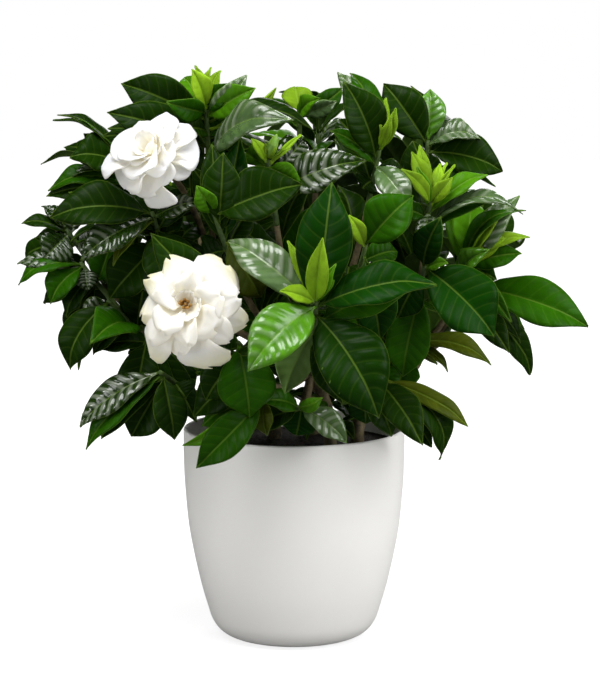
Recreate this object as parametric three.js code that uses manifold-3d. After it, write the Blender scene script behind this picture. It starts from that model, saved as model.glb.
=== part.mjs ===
// Potted gardenia: a white round-bottomed pot filled with soil, four woody stems that fork into
// leafy shoots, two open double blooms on green calyxes, and two lime buds.
// Millimetres, +Z up. The origin is the middle of the pot's flat base and the front faces -Y.

import * as THREE from "three";
import { mergeVertices } from "three/addons/utils/BufferGeometryUtils.js";
import Module from "manifold-3d";

const wasm = await Module();
wasm.setup();

// Pot and soil
const POT_HEIGHT = 152;
const RIM_RADIUS = 80;
const FOOT_RADIUS = 41;
const FOOT_BEND = 57;
const POT_WALL = 3;
const POT_FLOOR = 6;
const POT_SIDES = 26;
const OUTLINE_STEPS = { foot: 3, side: 4, lip: 3 };
const POT_SIDE = [[61.8, 17], [68.7, 41.5], [76, 78], [79.2, 112], [RIM_RADIUS, 134]];
const SOIL_TOP = 140;
const SOIL_MOUND = 3;
const SOIL_SHOULDER = { share: 0.62, rise: 1.8 };
const SOIL_EDGE = 1;
const SOIL_WALL_STEP = 2;
const GAP = 0.3;
const MERGE_DISTANCE = 1e-4;

// Woody stems
const STEM_FOOT_HEIGHT = 96;
const STEM_HOLE_FLOOR = STEM_FOOT_HEIGHT - GAP;
const STEM_RADII = [4.6, 4.6, 4.2, 3.8];
const STEM_STRAIGHT = 146;
const STEM_BEND_STEPS = 2;
const STEM_HOLE_SIDES = 8;
const STEM_HOLE_PLAY = 1;
const STEM_SIDES = 6;
const BRANCH_RADII = [2.8, 2.5, 2.2];
const BRANCH_SIDES = 4;
const BRANCH_EASE = 0.45;

// Leafy shoots
const SHOOT_LENGTH = 46;
const SHOOT_RADII = [2.2, 1.6];
const SHOOT_SIDES = 4;
const SEAT_HEIGHT = 1.2;
const BLADE_ROOT_WIDTH = 1.8;
const FUSED_ROOT_DEPTH = 0.5;
const LEAST_LEAN = 0.36;
const CREST_ANGLE = THREE.MathUtils.degToRad(42);
const TOUCH_VOLUME = 3e-5;
const SHOOT_LIFT = 0.5;
const BLADE_THICKNESS = 0.8;
const BLADE_CLEARANCE = 0.5;
const FRONT_BREADTH = 1.12;
const LEAF_FOLD = THREE.MathUtils.degToRad(13);
const PETAL_FOLD = THREE.MathUtils.degToRad(9);
const FACE_LIFT = 0.5;

// Stations along a blade: share of its length, and share of its greatest half width there
const BROAD_LEAF = [[0.26, 0.7], [0.54, 1], [0.8, 0.64]];
const MEDIUM_LEAF = [[0.33, 0.9], [0.7, 0.84]];
const PETAL = [[0.5, 0.85], [0.84, 0.96]];
const MEDIUM_WIDTH = 22;
const SLIM_WIDTH = 13;

// The front view of the plant: an eye in front looks slightly down on it, and a point in that
// view is read as steps across and down a picture sheet
const EYE = new THREE.Vector3(4.3, -1650, 440);
const LOOK_DOWN = THREE.MathUtils.degToRad(8);
const SHEET_MIDDLE = [300, 350];
const SHEET_REACH = 2311;

// Where each woody stem stands in the soil, and where it forks
const WOODY_STEMS = {
  left: { foot: [-14, 8], fork: [-52, -6, 208] },
  front: { foot: [26, -18], fork: [12, -44, 200] },
  right: { foot: [46, -4], fork: [78, -10, 208] },
  back: { foot: [14, 30], fork: [8, 48, 214] },
};

// Front shoots. The apex is [across, down, depth] in the front view, with depth in millimetres
// behind the pot's axis. A leaf is [share along the shoot, tip across, tip down, reach in front
// of the apex, width, roll in degrees, arch as a share of its length].
const FRONT_SHOOTS = [
  { name: "crown_left", stem: "left", apex: [206, 104, -62], leaves: [
    [1, 197, 66, 8, 7, 20, 0.05], [1, 209, 66, 0, 7, -30, 0.05], [0.95, 193, 70, 14, 15, 10, 0.05],
    [0.9, 184, 76, -8, 18, 0, 0.08], [0.9, 168, 103, 22, 16, -50, 0.12], [0.85, 246, 77, 12, 15, 35, 0.1],
    [0.8, 254, 88, 16, 20, 10, 0.1], [0.75, 121, 83, -6, 28, -20, 0.12], [0.7, 313, 124, 10, 20, -40, 0.15],
    [0.6, 278, 90, -10, 11, 70, 0.1], [0.35, 108, 112, 6, 28, -15, 0.15], [0.15, 282, 114, 25, 30, -10, 0.12],
  ] },
  { name: "left_upper", stem: "left", apex: [122, 158, -35], leaves: [
    [1, 57, 114, -10, 18, 60, 0.1], [0.9, 71, 155, 10, 30, 10, 0.12], [0.8, 42, 158, -12, 14, 70, 0.1],
    [0.6, 48, 184, 5, 20, 30, 0.1], [0.5, 62, 142, -15, 22, 0, 0.1],
  ] },
  { name: "left_middle", stem: "left", apex: [152, 212, -78], leaves: [
    [1, 50, 216, 6, 32, 10, 0.12], [0.9, 200, 200, 16, 15, 0, 0.1], [0.9, 80, 259, 14, 24, 10, 0.12],
    [0.85, 112, 264, 18, 10, 30, 0.1], [0.7, 178, 290, 6, 34, 0, 0.1], [0.5, 108, 298, -6, 30, 0, 0.1],
  ] },
  { name: "left_outer", stem: "left", apex: [66, 229, -12], leaves: [
    [1, 22, 222, 4, 15, 30, 0.15], [1, 43, 204, -6, 15, 30, 0.1], [0.9, 44, 258, 10, 26, -10, 0.15],
  ] },
  { name: "left_lower", stem: "left", apex: [80, 262, -20], leaves: [
    [1, 17, 281, 0, 18, 30, 0.18], [0.9, 50, 303, 10, 22, 15, 0.15], [0.7, 64, 316, 2, 18, 30, 0.1],
  ] },
  { name: "left_low", stem: "left", apex: [108, 300, -60], leaves: [
    [1, 68, 369, 0, 26, 15, 0.2], [0.7, 78, 322, -4, 26, -20, 0.1], [0.6, 75, 367, -14, 16, 60, 0.1],
    [0.4, 93, 339, 16, 30, 0, 0.12], [0.3, 146, 276, -10, 28, 0, 0.1],
  ] },
  { name: "low_hanging", stem: "left", apex: [146, 336, -64], leaves: [
    [1, 132, 420, 6, 28, 0, 0.15], [0.9, 155, 408, -6, 26, 0, 0.12], [0.8, 104, 330, -10, 28, 0, 0.1],
    [0.6, 186, 404, -12, 28, 0, 0.1],
  ] },
  { name: "low_left", stem: "left", apex: [160, 372, -92], leaves: [
    [1, 79, 426, -4, 24, 20, 0.12], [0.9, 84, 448, 8, 20, 20, 0.12], [0.9, 175, 440, 0, 22, 0, 0.1],
    [0.8, 131, 437, -8, 28, -10, 0.12],
  ] },
  { name: "low_centre", stem: "front", apex: [238, 342, -118], leaves: [
    [1, 250, 418, 2, 36, 0, 0.1], [0.8, 205, 400, -8, 24, 0, 0.1], [0.6, 285, 352, -10, 24, 0, 0.1],
    [0.4, 192, 416, -16, 26, 0, 0.1],
  ] },
  { name: "rim_left", stem: "front", apex: [262, 398, -106], leaves: [
    [1, 196, 468, 8, 24, -15, 0.2], [1, 266, 435, 14, 14, 20, 0.2], [0.9, 183, 447, 0, 11, -40, 0.15],
    [0.7, 200, 424, -10, 26, 0, 0.15],
  ] },
  { name: "middle_left", stem: "front", apex: [213, 213, -98], leaves: [
    [1, 301, 183, 6, 34, 0, 0.12], [1, 197, 187, 10, 14, -30, 0.1], [0.8, 223, 153, 0, 24, 0, 0.1],
    [0.7, 244, 262, -6, 26, 0, 0.12], [0.5, 262, 298, -16, 28, 0, 0.1],
  ] },
  { name: "young_left", stem: "front", apex: [268, 160, -86], leaves: [
    [1, 252, 138, 4, 8, 20, 0.1], [1, 290, 148, 2, 4, 0, 0.02], [1, 301, 134, -4, 4, 0, 0.02],
    [0.95, 243, 150, 8, 12, -20, 0.1], [0.9, 300, 183, 22, 16, 20, 0.1], [0.7, 304, 140, -12, 22, 20, 0.2],
    [0.5, 363, 158, 4, 28, 0, 0.12],
  ] },
  { name: "crown_middle", stem: "back", apex: [299, 110, -22], leaves: [
    [1, 295, 86, -14, 20, 0, 0.1], [0.95, 337, 102, 0, 12, 50, 0.1],
    [0.7, 255, 98, -16, 20, 30, 0.1],
  ] },
  { name: "crown_right", stem: "front", apex: [380, 146, -76], leaves: [
    [1, 391, 118, 10, 7, 20, 0.05], [1, 396, 109, -2, 8, 30, 0.03], [0.95, 386, 97, -10, 9, 0, 0.05],
    [0.9, 339, 70, -12, 20, 20, 0.08], [0.8, 345, 82, -2, 28, 10, 0.1], [0.7, 331, 130, 12, 18, 30, 0.12],
    [0.8, 411, 210, 26, 20, 0, 0.15],
  ] },
  { name: "middle_right", stem: "front", apex: [366, 244, -112], leaves: [
    [1, 412, 195, 6, 30, 0, 0.12], [1, 350, 216, 4, 10, 0, 0.1], [0.8, 381, 341, -8, 28, 0, 0.1],
    [0.7, 398, 250, -10, 18, 0, 0.1],
  ] },
  { name: "upper_right", stem: "right", apex: [428, 140, -42], leaves: [
    [1, 430, 89, -6, 20, 0, 0.08], [0.95, 384, 83, -4, 28, -10, 0.1], [0.9, 413, 84, -10, 10, 30, 0.1],
    [0.9, 480, 136, 4, 20, -20, 0.2], [0.8, 503, 171, -4, 28, 0, 0.12], [0.5, 462, 188, 10, 20, 0, 0.1],
  ] },
  { name: "young_right", stem: "right", apex: [430, 200, -86], leaves: [
    [1, 412, 152, 6, 12, 10, 0.08], [1, 420, 145, -2, 10, 0, 0.08], [1, 441, 163, 0, 9, 20, 0.08],
    [1, 447, 162, -6, 4, 0, 0.02], [1, 454, 165, -3, 4, 0, 0.02], [0.8, 486, 172, 4, 16, -20, 0.1],
    [0.9, 428, 249, 16, 14, 10, 0.1], [0.7, 396, 209, 14, 14, 0, 0.1],
  ] },
  { name: "right", stem: "right", apex: [470, 258, -58], leaves: [
    [1, 500, 215, 0, 9, -10, 0.08], [1, 528, 234, 4, 12, -20, 0.1], [0.95, 511, 322, 16, 11, 20, 0.08],
    [0.9, 473, 198, 10, 22, 0, 0.12], [0.9, 521, 253, 10, 19, 0, 0.12], [0.8, 453, 200, 0, 15, 0, 0.1],
    [0.8, 510, 207, -14, 14, 0, 0.1], [0.7, 522, 207, -6, 14, -30, 0.28], [0.5, 488, 190, -18, 22, 0, 0.1],
  ] },
  { name: "right_low", stem: "right", apex: [476, 284, -36], leaves: [
    [1, 589, 325, 8, 32, 0, 0.13], [0.8, 522, 342, -6, 16, -30, 0.1], [0.8, 534, 375, 0, 18, -10, 0.12],
    [0.7, 529, 334, -12, 10, -20, 0.1],
  ] },
  { name: "inner_right", stem: "right", apex: [424, 266, -92], leaves: [
    [1, 495, 336, 12, 42, 0, 0.12], [1, 447, 262, 6, 10, -20, 0.1], [0.9, 440, 218, 0, 20, 0, 0.1],
    [0.8, 398, 318, -6, 24, 0, 0.1], [0.5, 402, 378, -12, 28, 0, 0.1],
  ] },
  { name: "low_right", stem: "right", apex: [408, 342, -66], leaves: [
    [1, 492, 362, 6, 16, -20, 0.15], [0.9, 449, 370, 2, 9, -30, 0.15], [0.9, 438, 364, -6, 6, 0, 0.05],
    [0.5, 398, 392, 0, 24, 0, 0.1],
  ] },
  { name: "rim_right", stem: "front", length: 30, apex: [386, 378, -80], leaves: [
    [1, 470, 424, 4, 14, -10, 0.1], [0.9, 443, 459, 10, 26, -20, 0.28], [0.7, 423, 412, -6, 16, -20, 0.12],
    [0.5, 392, 436, 4, 20, 0, 0.15],
  ] },
  { name: "rim_front", stem: "front", length: 22, apex: [298, 408, -94], leaves: [
    [1, 347, 442, 6, 18, 0, 0.12], [0.6, 262, 400, 0, 16, 0, 0.1],
  ] },
  { name: "centre", stem: "front", apex: [316, 300, -142], leaves: [
    [1, 281, 290, 8, 13, 10, 0.08], [1, 335, 272, 4, 8, 0, 0.05], [0.95, 321, 239, 6, 13, 0, 0.08],
    [0.95, 288, 240, 2, 8, 10, 0.06], [0.9, 228, 238, 4, 26, 0, 0.12], [0.9, 248, 369, 26, 33, 0, 0.14],
    [0.85, 434, 279, 10, 30, -10, 0.12], [0.8, 331, 183, -4, 34, 0, 0.12], [0.7, 380, 415, 22, 42, 0, 0.14],
    [0.5, 419, 277, -12, 26, 0, 0.1], [0.4, 284, 393, -6, 24, 150, 0.1], [0.3, 344, 404, -6, 26, 0, 0.15],
  ] },
];

// Shoots that fill the sides, the back and the top, in rings round the plant's middle: ring
// height, distance out, first direction in degrees from +X towards +Y, step, how many, leaf size
const PLANT_MIDDLE = [6, 4];
const BACK_SPREAD = 1.1;
const OUTER_RINGS = [
  { name: "low", height: 222, out: 104, from: 30, step: 40, count: 4, size: 0.92 },
  { name: "middle", height: 282, out: 122, from: -4, step: 44, count: 5, size: 1 },
  { name: "high", height: 338, out: 84, from: 22, step: 45, count: 4, size: 0.95 },
  { name: "top", height: 366, out: 26, from: 60, step: 0, count: 1, size: 0.9 },
];
// Whorls of leaves on such a shoot: share along it, leaf length, and angle from the shoot's line
const WHORLS = [[0.4, 74, 82], [0.7, 68, 64], [0.97, 52, 42]];
const WHORL_LEAVES = 3;
const WHORL_SPREAD = { turn: 0.5, length: 0.28, angle: 24 };
const RING_SPREAD = { turn: 10, out: 0.16, height: 16 };
const LEAF_SLENDERNESS = 0.42;
const OUTER_ARCH = 0.13;
const DRAW_SEED = 11;
// A leaf keeps inside this oval seen from the front, and above the bare stems on the right
const CROWN_OVAL = { x: -8, z: 280, wide: 172, tall: 118, deep: 182 };
const BARE_RIGHT = { x: 66, z: 214 };

// What a leaf that would cross its neighbours does instead, first to last
const DEPTH_SHIFTS = [0, -5, 5, -10, 10, -16, 16, -24, 24, -34, 34];
const PITCH_SHIFTS = [0, 11, -11, 22, -22, 33];
const SIZE_SHIFTS = [1, 0.8];

// Blooms. The heart is [across, down, depth] in the front view, and the axis is where it looks.
// Layers of petals go from the innermost out, and each petal's tip is [across, down, reach in
// front of the heart].
const BLOOMS = [
  { name: "bloom_upper", stem: "left", heart: [152, 152, -104], axis: [-0.4, -0.72, 0.56], layers: [
    { share: 0.8, width: 16, arch: 0.14, tips: [
      [120, 158, 14], [140, 174, 18], [166, 168, 18], [176, 146, 8], [160, 126, 2], [134, 136, 6],
    ] },
    { share: 0.4, width: 22, arch: 0.16, tips: [
      [101, 167, -6], [125, 188, 2], [156, 190, 10], [162, 208, -2], [190, 174, 0], [199, 150, -6],
      [189, 124, -14], [166, 112, -16], [139, 121, -14], [113, 141, -10],
    ] },
  ] },
  { name: "bloom_lower", stem: "front", heart: [187, 305, -146], axis: [-0.16, -0.96, 0.22], layers: [
    { share: 0.9, width: 12, arch: 0.1, tips: [
      [184, 289, 22], [201, 302, 22], [194, 320, 24], [175, 314, 24],
    ] },
    { share: 0.7, width: 18, arch: 0.14, tips: [
      [192, 274, 10], [218, 296, 10], [212, 328, 12], [186, 342, 14], [162, 328, 14], [162, 296, 12],
    ] },
    { share: 0.3, width: 25, arch: 0.16, tips: [
      [172, 261, -4], [224, 266, -6], [244, 326, -4], [206, 367, -2], [148, 355, -2], [143, 312, 0],
      [152, 278, -2],
    ] },
  ] },
];
const PETAL_ROLL = THREE.MathUtils.degToRad(16);
const PETAL_SHIFTS = [0, 2, -2, 4, -4];
const COROLLA = { back: 14, length: 12, radii: [4.4, 6.4], sides: 8 };
const CALYX = { back: 28, length: 13.6, radii: [2.2, 4.6], sides: 5 };
const SEPAL = { share: 0.55, length: 15, width: 3, angle: 78, arch: 0.1 };

// Buds stand on a shoot's apex; the tip is [across, down, reach in front of the apex]
const BUDS = [
  { name: "bud_left", shoot: "young_left", tip: [277, 134, 4], radius: 3.6 },
  { name: "bud_right", shoot: "crown_right", tip: [374, 106, 4], radius: 4.6 },
];
const BUD_OUTLINE = [[0, 0.35], [0.25, 0.85], [0.55, 1], [0.85, 0.55], [1, 0.12]];
const BUD_SIDES = 6;
const BUD_LIFT = 0.6;

const UNIT_X = new THREE.Vector3(1, 0, 0);
const UNIT_Z = new THREE.Vector3(0, 0, 1);
const NEARLY_UPRIGHT = 0.9;
const DRAW_FACTOR = 48271;
const DRAW_RANGE = 2147483647;

const MATERIALS = {
  pot: { color: 0xe9e8e6, roughness: 0.55, metalness: 0 },
  soil: { color: 0x241a12, roughness: 0.95, metalness: 0 },
  bark: { color: 0x7a7350, roughness: 0.8, metalness: 0 },
  leaf: { color: 0x1f4016, roughness: 0.35, metalness: 0 },
  petal: { color: 0xf6f3ea, roughness: 0.6, metalness: 0 },
  calyx: { color: 0x6d8f3c, roughness: 0.55, metalness: 0 },
};

// A point of the front view, at a depth behind the pot's axis
function place(across, down, depth) {
  const right = (across - SHEET_MIDDLE[0]) / SHEET_REACH;
  const below = (down - SHEET_MIDDLE[1]) / SHEET_REACH;
  const ray = new THREE.Vector3(
    right,
    Math.cos(LOOK_DOWN) - below * Math.sin(LOOK_DOWN),
    -Math.sin(LOOK_DOWN) - below * Math.cos(LOOK_DOWN),
  );
  return ray.multiplyScalar((depth - EYE.y) / ray.y).add(EYE);
}

// Park and Miller's generator: shares from 0 to 1 that are the same on every run
function seededDraw(seed) {
  let state = seed;
  return () => {
    state = (state * DRAW_FACTOR) % DRAW_RANGE;
    return state / DRAW_RANGE;
  };
}

// A closed surface, gathered point by point and triangle by triangle. A blade's row holds pairs
// of points, one on its upper skin and one under it, from its left edge to its right.
class Surface {
  points = [];
  faces = [];

  add(point) {
    return this.points.push(point) - 1;
  }

  addRow(row) {
    return row.map(({ top, under }) => ({ top: this.add(top), under: this.add(under) }));
  }

  quad(a, b, c, d) {
    this.faces.push([a, b, c], [a, c, d]);
  }

  ring(corners) {
    return corners.map((corner) => this.add(corner));
  }

  // Walls between two rings, except where a side is left open for a leaf
  walls(low, high, open = []) {
    low.forEach((_, side) => {
      const next = (side + 1) % low.length;
      if (!open.includes(side)) {
        this.quad(low[side], low[next], high[next], high[side]);
      }
    });
  }

  cap(ring, isEnd) {
    for (let side = 1; side + 1 < ring.length; side++) {
      const [a, b] = isEnd ? [side, side + 1] : [side + 1, side];
      this.faces.push([ring[0], ring[a], ring[b]]);
    }
  }

  // The stretch of a blade between two rows: both skins, split alike, and the two edges
  stretch(near, far) {
    let [n, f] = [0, 0];
    while (n + 1 < near.length || f + 1 < far.length) {
      const nearNext = n + 1 < near.length ? (n + 1) / (near.length - 1) : 2;
      const farNext = f + 1 < far.length ? (f + 1) / (far.length - 1) : 2;
      if (nearNext <= farNext) {
        this.skins(near[n], near[n + 1], far[f]);
        n += 1;
      } else {
        this.skins(near[n], far[f + 1], far[f]);
        f += 1;
      }
    }
    this.quad(far[0].top, far[0].under, near[0].under, near[0].top);
    this.quad(near.at(-1).top, near.at(-1).under, far.at(-1).under, far.at(-1).top);
  }

  skins(a, b, c) {
    this.faces.push([a.top, b.top, c.top], [a.under, c.under, b.under]);
  }

  blade(rows) {
    rows.slice(1).forEach((row, step) => this.stretch(rows[step], row));
  }

  solid() {
    return new wasm.Manifold(
      new wasm.Mesh({
        numProp: 3,
        vertProperties: new Float32Array(this.points.flatMap((point) => point.toArray())),
        triVerts: new Uint32Array(this.faces.flat()),
      }),
    );
  }
}

function solidOfGeometry(geometry) {
  geometry.deleteAttribute("normal");
  geometry.deleteAttribute("uv");
  const merged = mergeVertices(geometry, MERGE_DISTANCE);
  return new wasm.Manifold(
    new wasm.Mesh({
      numProp: 3,
      vertProperties: merged.attributes.position.array,
      triVerts: new Uint32Array(merged.index.array),
    }),
  );
}

// The largest body of a union: hollows that fusing seals are filled and loose scraps dropped
function fused(solids) {
  const bodies = wasm.Manifold.union(solids).decompose();
  return bodies.reduce((best, body) => (body.volume() > best.volume() ? body : best));
}

function meshOf(name, solid, material) {
  const { vertProperties, triVerts } = solid.getMesh();
  const geometry = new THREE.BufferGeometry()
    .setAttribute("position", new THREE.BufferAttribute(vertProperties, 3))
    .setIndex(new THREE.BufferAttribute(triVerts, 1));
  geometry.computeVertexNormals();
  const mesh = new THREE.Mesh(geometry, new THREE.MeshStandardMaterial(MATERIALS[material]));
  mesh.name = name;
  return mesh;
}

// Two directions square to a third, the first of them near a given one; a turn from the first to
// the second is right-handed
function squareTo(along, near = Math.abs(along.z) > NEARLY_UPRIGHT ? UNIT_X : UNIT_Z) {
  const across = near.clone().addScaledVector(along, -near.dot(along)).normalize();
  return [across, new THREE.Vector3().crossVectors(along, across)];
}

function ringCorners(middle, [across, over], radius, sides, turn = 0) {
  return Array.from({ length: sides }, (_, side) => {
    const angle = turn + (side / sides) * 2 * Math.PI;
    return middle
      .clone()
      .addScaledVector(across, radius * Math.cos(angle))
      .addScaledVector(over, radius * Math.sin(angle));
  });
}

// A tapered tube through points, with one ring square to the tube's direction at each of them
function tube(points, alongs, radii, sides, turn = 0) {
  const surface = new Surface();
  let [across, over] = squareTo(alongs[0]);
  const rings = points.map((point, step) => {
    [across, over] = squareTo(alongs[step], across);
    return surface.ring(ringCorners(point, [across, over], radii[step], sides, turn));
  });
  rings.slice(1).forEach((ring, step) => surface.walls(rings[step], ring));
  surface.cap(rings[0], false);
  surface.cap(rings.at(-1), true);
  return surface.solid();
}

function curvedTube(curve, radii, sides) {
  const shares = radii.map((_, step) => step / (radii.length - 1));
  const points = shares.map((share) => curve.getPoint(share));
  const alongs = shares.map((share) => curve.getTangent(share));
  return tube(points, alongs, radii, sides);
}

// A thin blade from root to tip, as rows of point pairs. Its upper side looks towards face, its
// midrib rises by arch times its length, and its two halves fold up from the midrib. It starts
// from a seat of four corners, or else from a narrow end of its own.
function bladeRows({ root, tip, face, width, arch, fold, stations, seat }, clearance = 0) {
  const chord = tip.clone().sub(root);
  const length = chord.length();
  const along = chord.normalize();
  const up = face.clone().addScaledVector(along, -face.dot(along)).normalize();
  const side = new THREE.Vector3().crossVectors(along, up);
  const half = BLADE_THICKNESS / 2 + clearance;
  const hands = width < SLIM_WIDTH ? [-1, 1] : [-1, 0, 1];
  const rowAt = (share, reach, places) => {
    const slope = 4 * arch * (1 - 2 * share);
    const normal = up.clone().addScaledVector(along, -slope).normalize();
    const middle = root
      .clone()
      .addScaledVector(along, length * share)
      .addScaledVector(up, 4 * arch * length * share * (1 - share));
    return places.map((hand) => {
      const line = middle
        .clone()
        .addScaledVector(side, hand * reach * Math.cos(fold))
        .addScaledVector(normal, Math.abs(hand) * reach * Math.sin(fold));
      return {
        top: line.clone().addScaledVector(normal, half),
        under: line.clone().addScaledVector(normal, -half),
      };
    });
  };
  const first = seat ? seatRow(seat, side) : rowAt(0, BLADE_ROOT_WIDTH / 2, [-1, 1]);
  const rows = stations.map(([share, wide]) => rowAt(share, (wide * width) / 2 + clearance, hands));
  return [first, ...rows, rowAt(1, 0, [0])];
}

// A seat's four corners, going round, as the first row of a blade that they twist the least
function seatRow(corners, side) {
  const fit = (turn) => corners[(turn + 1) % 4].clone().sub(corners[turn]).normalize().dot(side);
  const turn = [0, 1, 2, 3].reduce((best, other) => (fit(other) > fit(best) ? other : best));
  const corner = (step) => corners[(turn + step) % corners.length];
  return [
    { top: corner(0), under: corner(3) },
    { top: corner(1), under: corner(2) },
  ];
}

function blade(choice, clearance) {
  const surface = new Surface();
  const rows = bladeRows(choice, clearance).map((row) => surface.addRow(row));
  const [left, right] = rows[0];
  surface.quad(left.top, left.under, right.under, right.top);
  surface.blade(rows);
  return surface.solid();
}

// What is already in place, so that a new blade can keep clear of it
const taken = [];

function take(owner, solid) {
  const { min, max } = solid.boundingBox();
  taken.push({ owner, solid, min, max });
  return solid;
}

function takeStalk(owner, { start, apex, along, radii, sides }) {
  take(owner, tube([start, apex], [along, along], radii, sides, -Math.PI / sides));
}

function isClear(solid, others) {
  const { min, max } = solid.boundingBox();
  return others.every(
    (other) =>
      [0, 1, 2].some((axis) => other.min[axis] > max[axis] || other.max[axis] < min[axis]) ||
      solid.intersect(other.solid).volume() < TOUCH_VOLUME,
  );
}

// The first of a blade's choices that keeps clear of all else from its seat, or one that crosses
// only its own shoot and is fused there from inside the stalk; with neither, it is left out
function settle(owner, choices) {
  const strangers = taken.filter((other) => other.owner !== owner);
  const kin = taken.filter((other) => other.owner === owner);
  const keepsOff = (choice) => isClear(blade(choice, BLADE_CLEARANCE), strangers);
  const isAlone = (choice) => leansOut(choice) && isClear(blade(choice, 0), kin);
  const choice =
    choices.find((seated) => isAlone(seated) && keepsOff(seated)) ?? choices.map(sink).find(keepsOff);
  if (choice) {
    take(owner, blade(choice, 0));
  }
  return choice;
}

function sink(choice) {
  return { ...choice, seat: undefined, root: choice.root.clone().lerp(choice.middle, FUSED_ROOT_DEPTH) };
}

function leansOut({ root, middle, tip }) {
  const outward = root.clone().sub(middle).normalize();
  return tip.clone().sub(root).normalize().dot(outward) > LEAST_LEAN;
}

// A stalk's sides are cut into low bands, with a blade's seat on each side. Blades are seated
// from the top down, each on the side that it leaves by. On an open-ended twig, the first leaf
// that goes on in the twig's direction sits on the twig's end instead.
function seatLeaves(twig, leaves) {
  const bands = [];
  const crest = leaves.find(
    ({ direction }) => twig.isOpenEnded && direction.angleTo(twig.along) < CREST_ANGLE,
  );
  if (crest) {
    const seat = twigRing(twig, twig.length);
    Object.assign(crest, { seat, root: twig.apex, middle: twigPoint(twig, twig.length - SEAT_HEIGHT) });
  }
  let ceiling = twig.length - 2 * SEAT_HEIGHT;
  for (const leaf of leaves.filter((other) => other !== crest)) {
    const side = nearestSide(twig, leaf.direction);
    const shared = bands.at(-1);
    if (shared?.share === leaf.share && !shared.leaves.has(side)) {
      shared.leaves.set(side, leaf);
    } else {
      const low = Math.min(leaf.share * twig.length, ceiling);
      bands.push({ share: leaf.share, low, leaves: new Map([[side, leaf]]) });
      ceiling = low - SEAT_HEIGHT;
    }
  }
  for (const { low, leaves: seated } of bands) {
    const [near, far] = [twigRing(twig, low), twigRing(twig, low + SEAT_HEIGHT)];
    const middle = twigPoint(twig, low + SEAT_HEIGHT / 2);
    seated.forEach((leaf, side) => {
      const next = (side + 1) % twig.sides;
      const seat = [far[next], far[side], near[side], near[next]];
      const root = seat.reduce((sum, corner) => sum.add(corner), new THREE.Vector3()).divideScalar(4);
      Object.assign(leaf, { seat, root, middle });
    });
  }
  return { bands, crest };
}

function nearestSide({ frame: [across, over], sides }, direction) {
  const turn = Math.atan2(direction.dot(over), direction.dot(across));
  return THREE.MathUtils.euclideanModulo(Math.round((turn / (2 * Math.PI)) * sides), sides);
}

// A straight stalk whose sides can carry seats, from a start along a direction
function stalk(start, along, length, radii, sides) {
  const apex = start.clone().addScaledVector(along, length);
  return { start, apex, along, length, radii, sides, frame: squareTo(along) };
}

function twigPoint({ start, along }, height) {
  return start.clone().addScaledVector(along, height);
}

function twigRing(twig, height) {
  const radius = THREE.MathUtils.lerp(...twig.radii, height / twig.length);
  return ringCorners(twigPoint(twig, height), twig.frame, radius, twig.sides, -Math.PI / twig.sides);
}

// A stalk and its blades as one surface: the stalk from the bottom up, each blade out of its seat
function makeShoot(twig, { bands, crest }) {
  const surface = new Surface();
  let below = surface.ring(twigRing(twig, 0));
  let top = 0;
  surface.cap(below, false);
  for (const { low, leaves } of bands.toReversed()) {
    const seated = [...leaves].filter(([, { choice }]) => choice?.seat);
    const near = low > top ? surface.ring(twigRing(twig, low)) : below;
    if (near !== below) {
      surface.walls(below, near);
    }
    top = low + SEAT_HEIGHT;
    const far = surface.ring(twigRing(twig, top));
    surface.walls(near, far, seated.map(([side]) => side));
    for (const [side, { choice }] of seated) {
      const next = (side + 1) % twig.sides;
      growBlade(surface, choice, [far[next], far[side], near[side], near[next]]);
    }
    below = far;
  }
  const end = surface.ring(twigRing(twig, twig.length));
  surface.walls(below, end);
  if (crest?.choice?.seat) {
    growBlade(surface, crest.choice, end);
  } else {
    surface.cap(end, true);
  }
  const fusedOn = [crest, ...bands.flatMap(({ leaves }) => [...leaves.values()])]
    .filter((leaf) => leaf?.choice && !leaf.choice.seat)
    .map(({ choice }) => blade(choice, 0));
  return fusedOn.length ? fused([surface.solid(), ...fusedOn]) : surface.solid();
}

function growBlade(surface, choice, corners) {
  const [first, ...rows] = bladeRows(choice);
  const cornerOf = (point) => corners[choice.seat.indexOf(point)];
  const seat = first.map(({ top, under }) => ({ top: cornerOf(top), under: cornerOf(under) }));
  surface.blade([seat, ...rows.map((row) => surface.addRow(row))]);
}

// Pot and soil: the same outline of the side, moved inwards for the pot's inside and for the soil
const foot = new THREE.QuadraticBezierCurve(
  new THREE.Vector2(FOOT_RADIUS, 0),
  new THREE.Vector2(FOOT_BEND, 0),
  new THREE.Vector2(...POT_SIDE[0]),
);
const side = new THREE.SplineCurve(POT_SIDE.map((point) => new THREE.Vector2(...point)));

function innerOutline(inset, floor, top) {
  const outside = [
    ...foot.getPoints(OUTLINE_STEPS.foot).slice(1),
    ...side.getPoints(OUTLINE_STEPS.side).slice(1),
  ];
  return outside
    .map((point) => new THREE.Vector2(point.x - inset, point.y))
    .filter((point) => point.y > floor && point.y < top);
}

function makePot() {
  const lip = POT_WALL / 2;
  const lipArc = new THREE.EllipseCurve(RIM_RADIUS - lip, POT_HEIGHT - lip, lip, lip, 0, Math.PI);
  const inside = innerOutline(POT_WALL, POT_FLOOR, POT_HEIGHT - lip).reverse();
  const profile = [
    new THREE.Vector2(0, 0),
    ...foot.getPoints(OUTLINE_STEPS.foot),
    ...side.getPoints(OUTLINE_STEPS.side).slice(1),
    ...lipArc.getPoints(OUTLINE_STEPS.lip),
    ...inside,
    new THREE.Vector2(inside.at(-1).x - POT_FLOOR, POT_FLOOR),
    new THREE.Vector2(0, POT_FLOOR),
  ];
  return solidOfGeometry(turned(profile));
}

function turned(profile) {
  return new THREE.LatheGeometry(profile, POT_SIDES).rotateX(Math.PI / 2);
}

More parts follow.
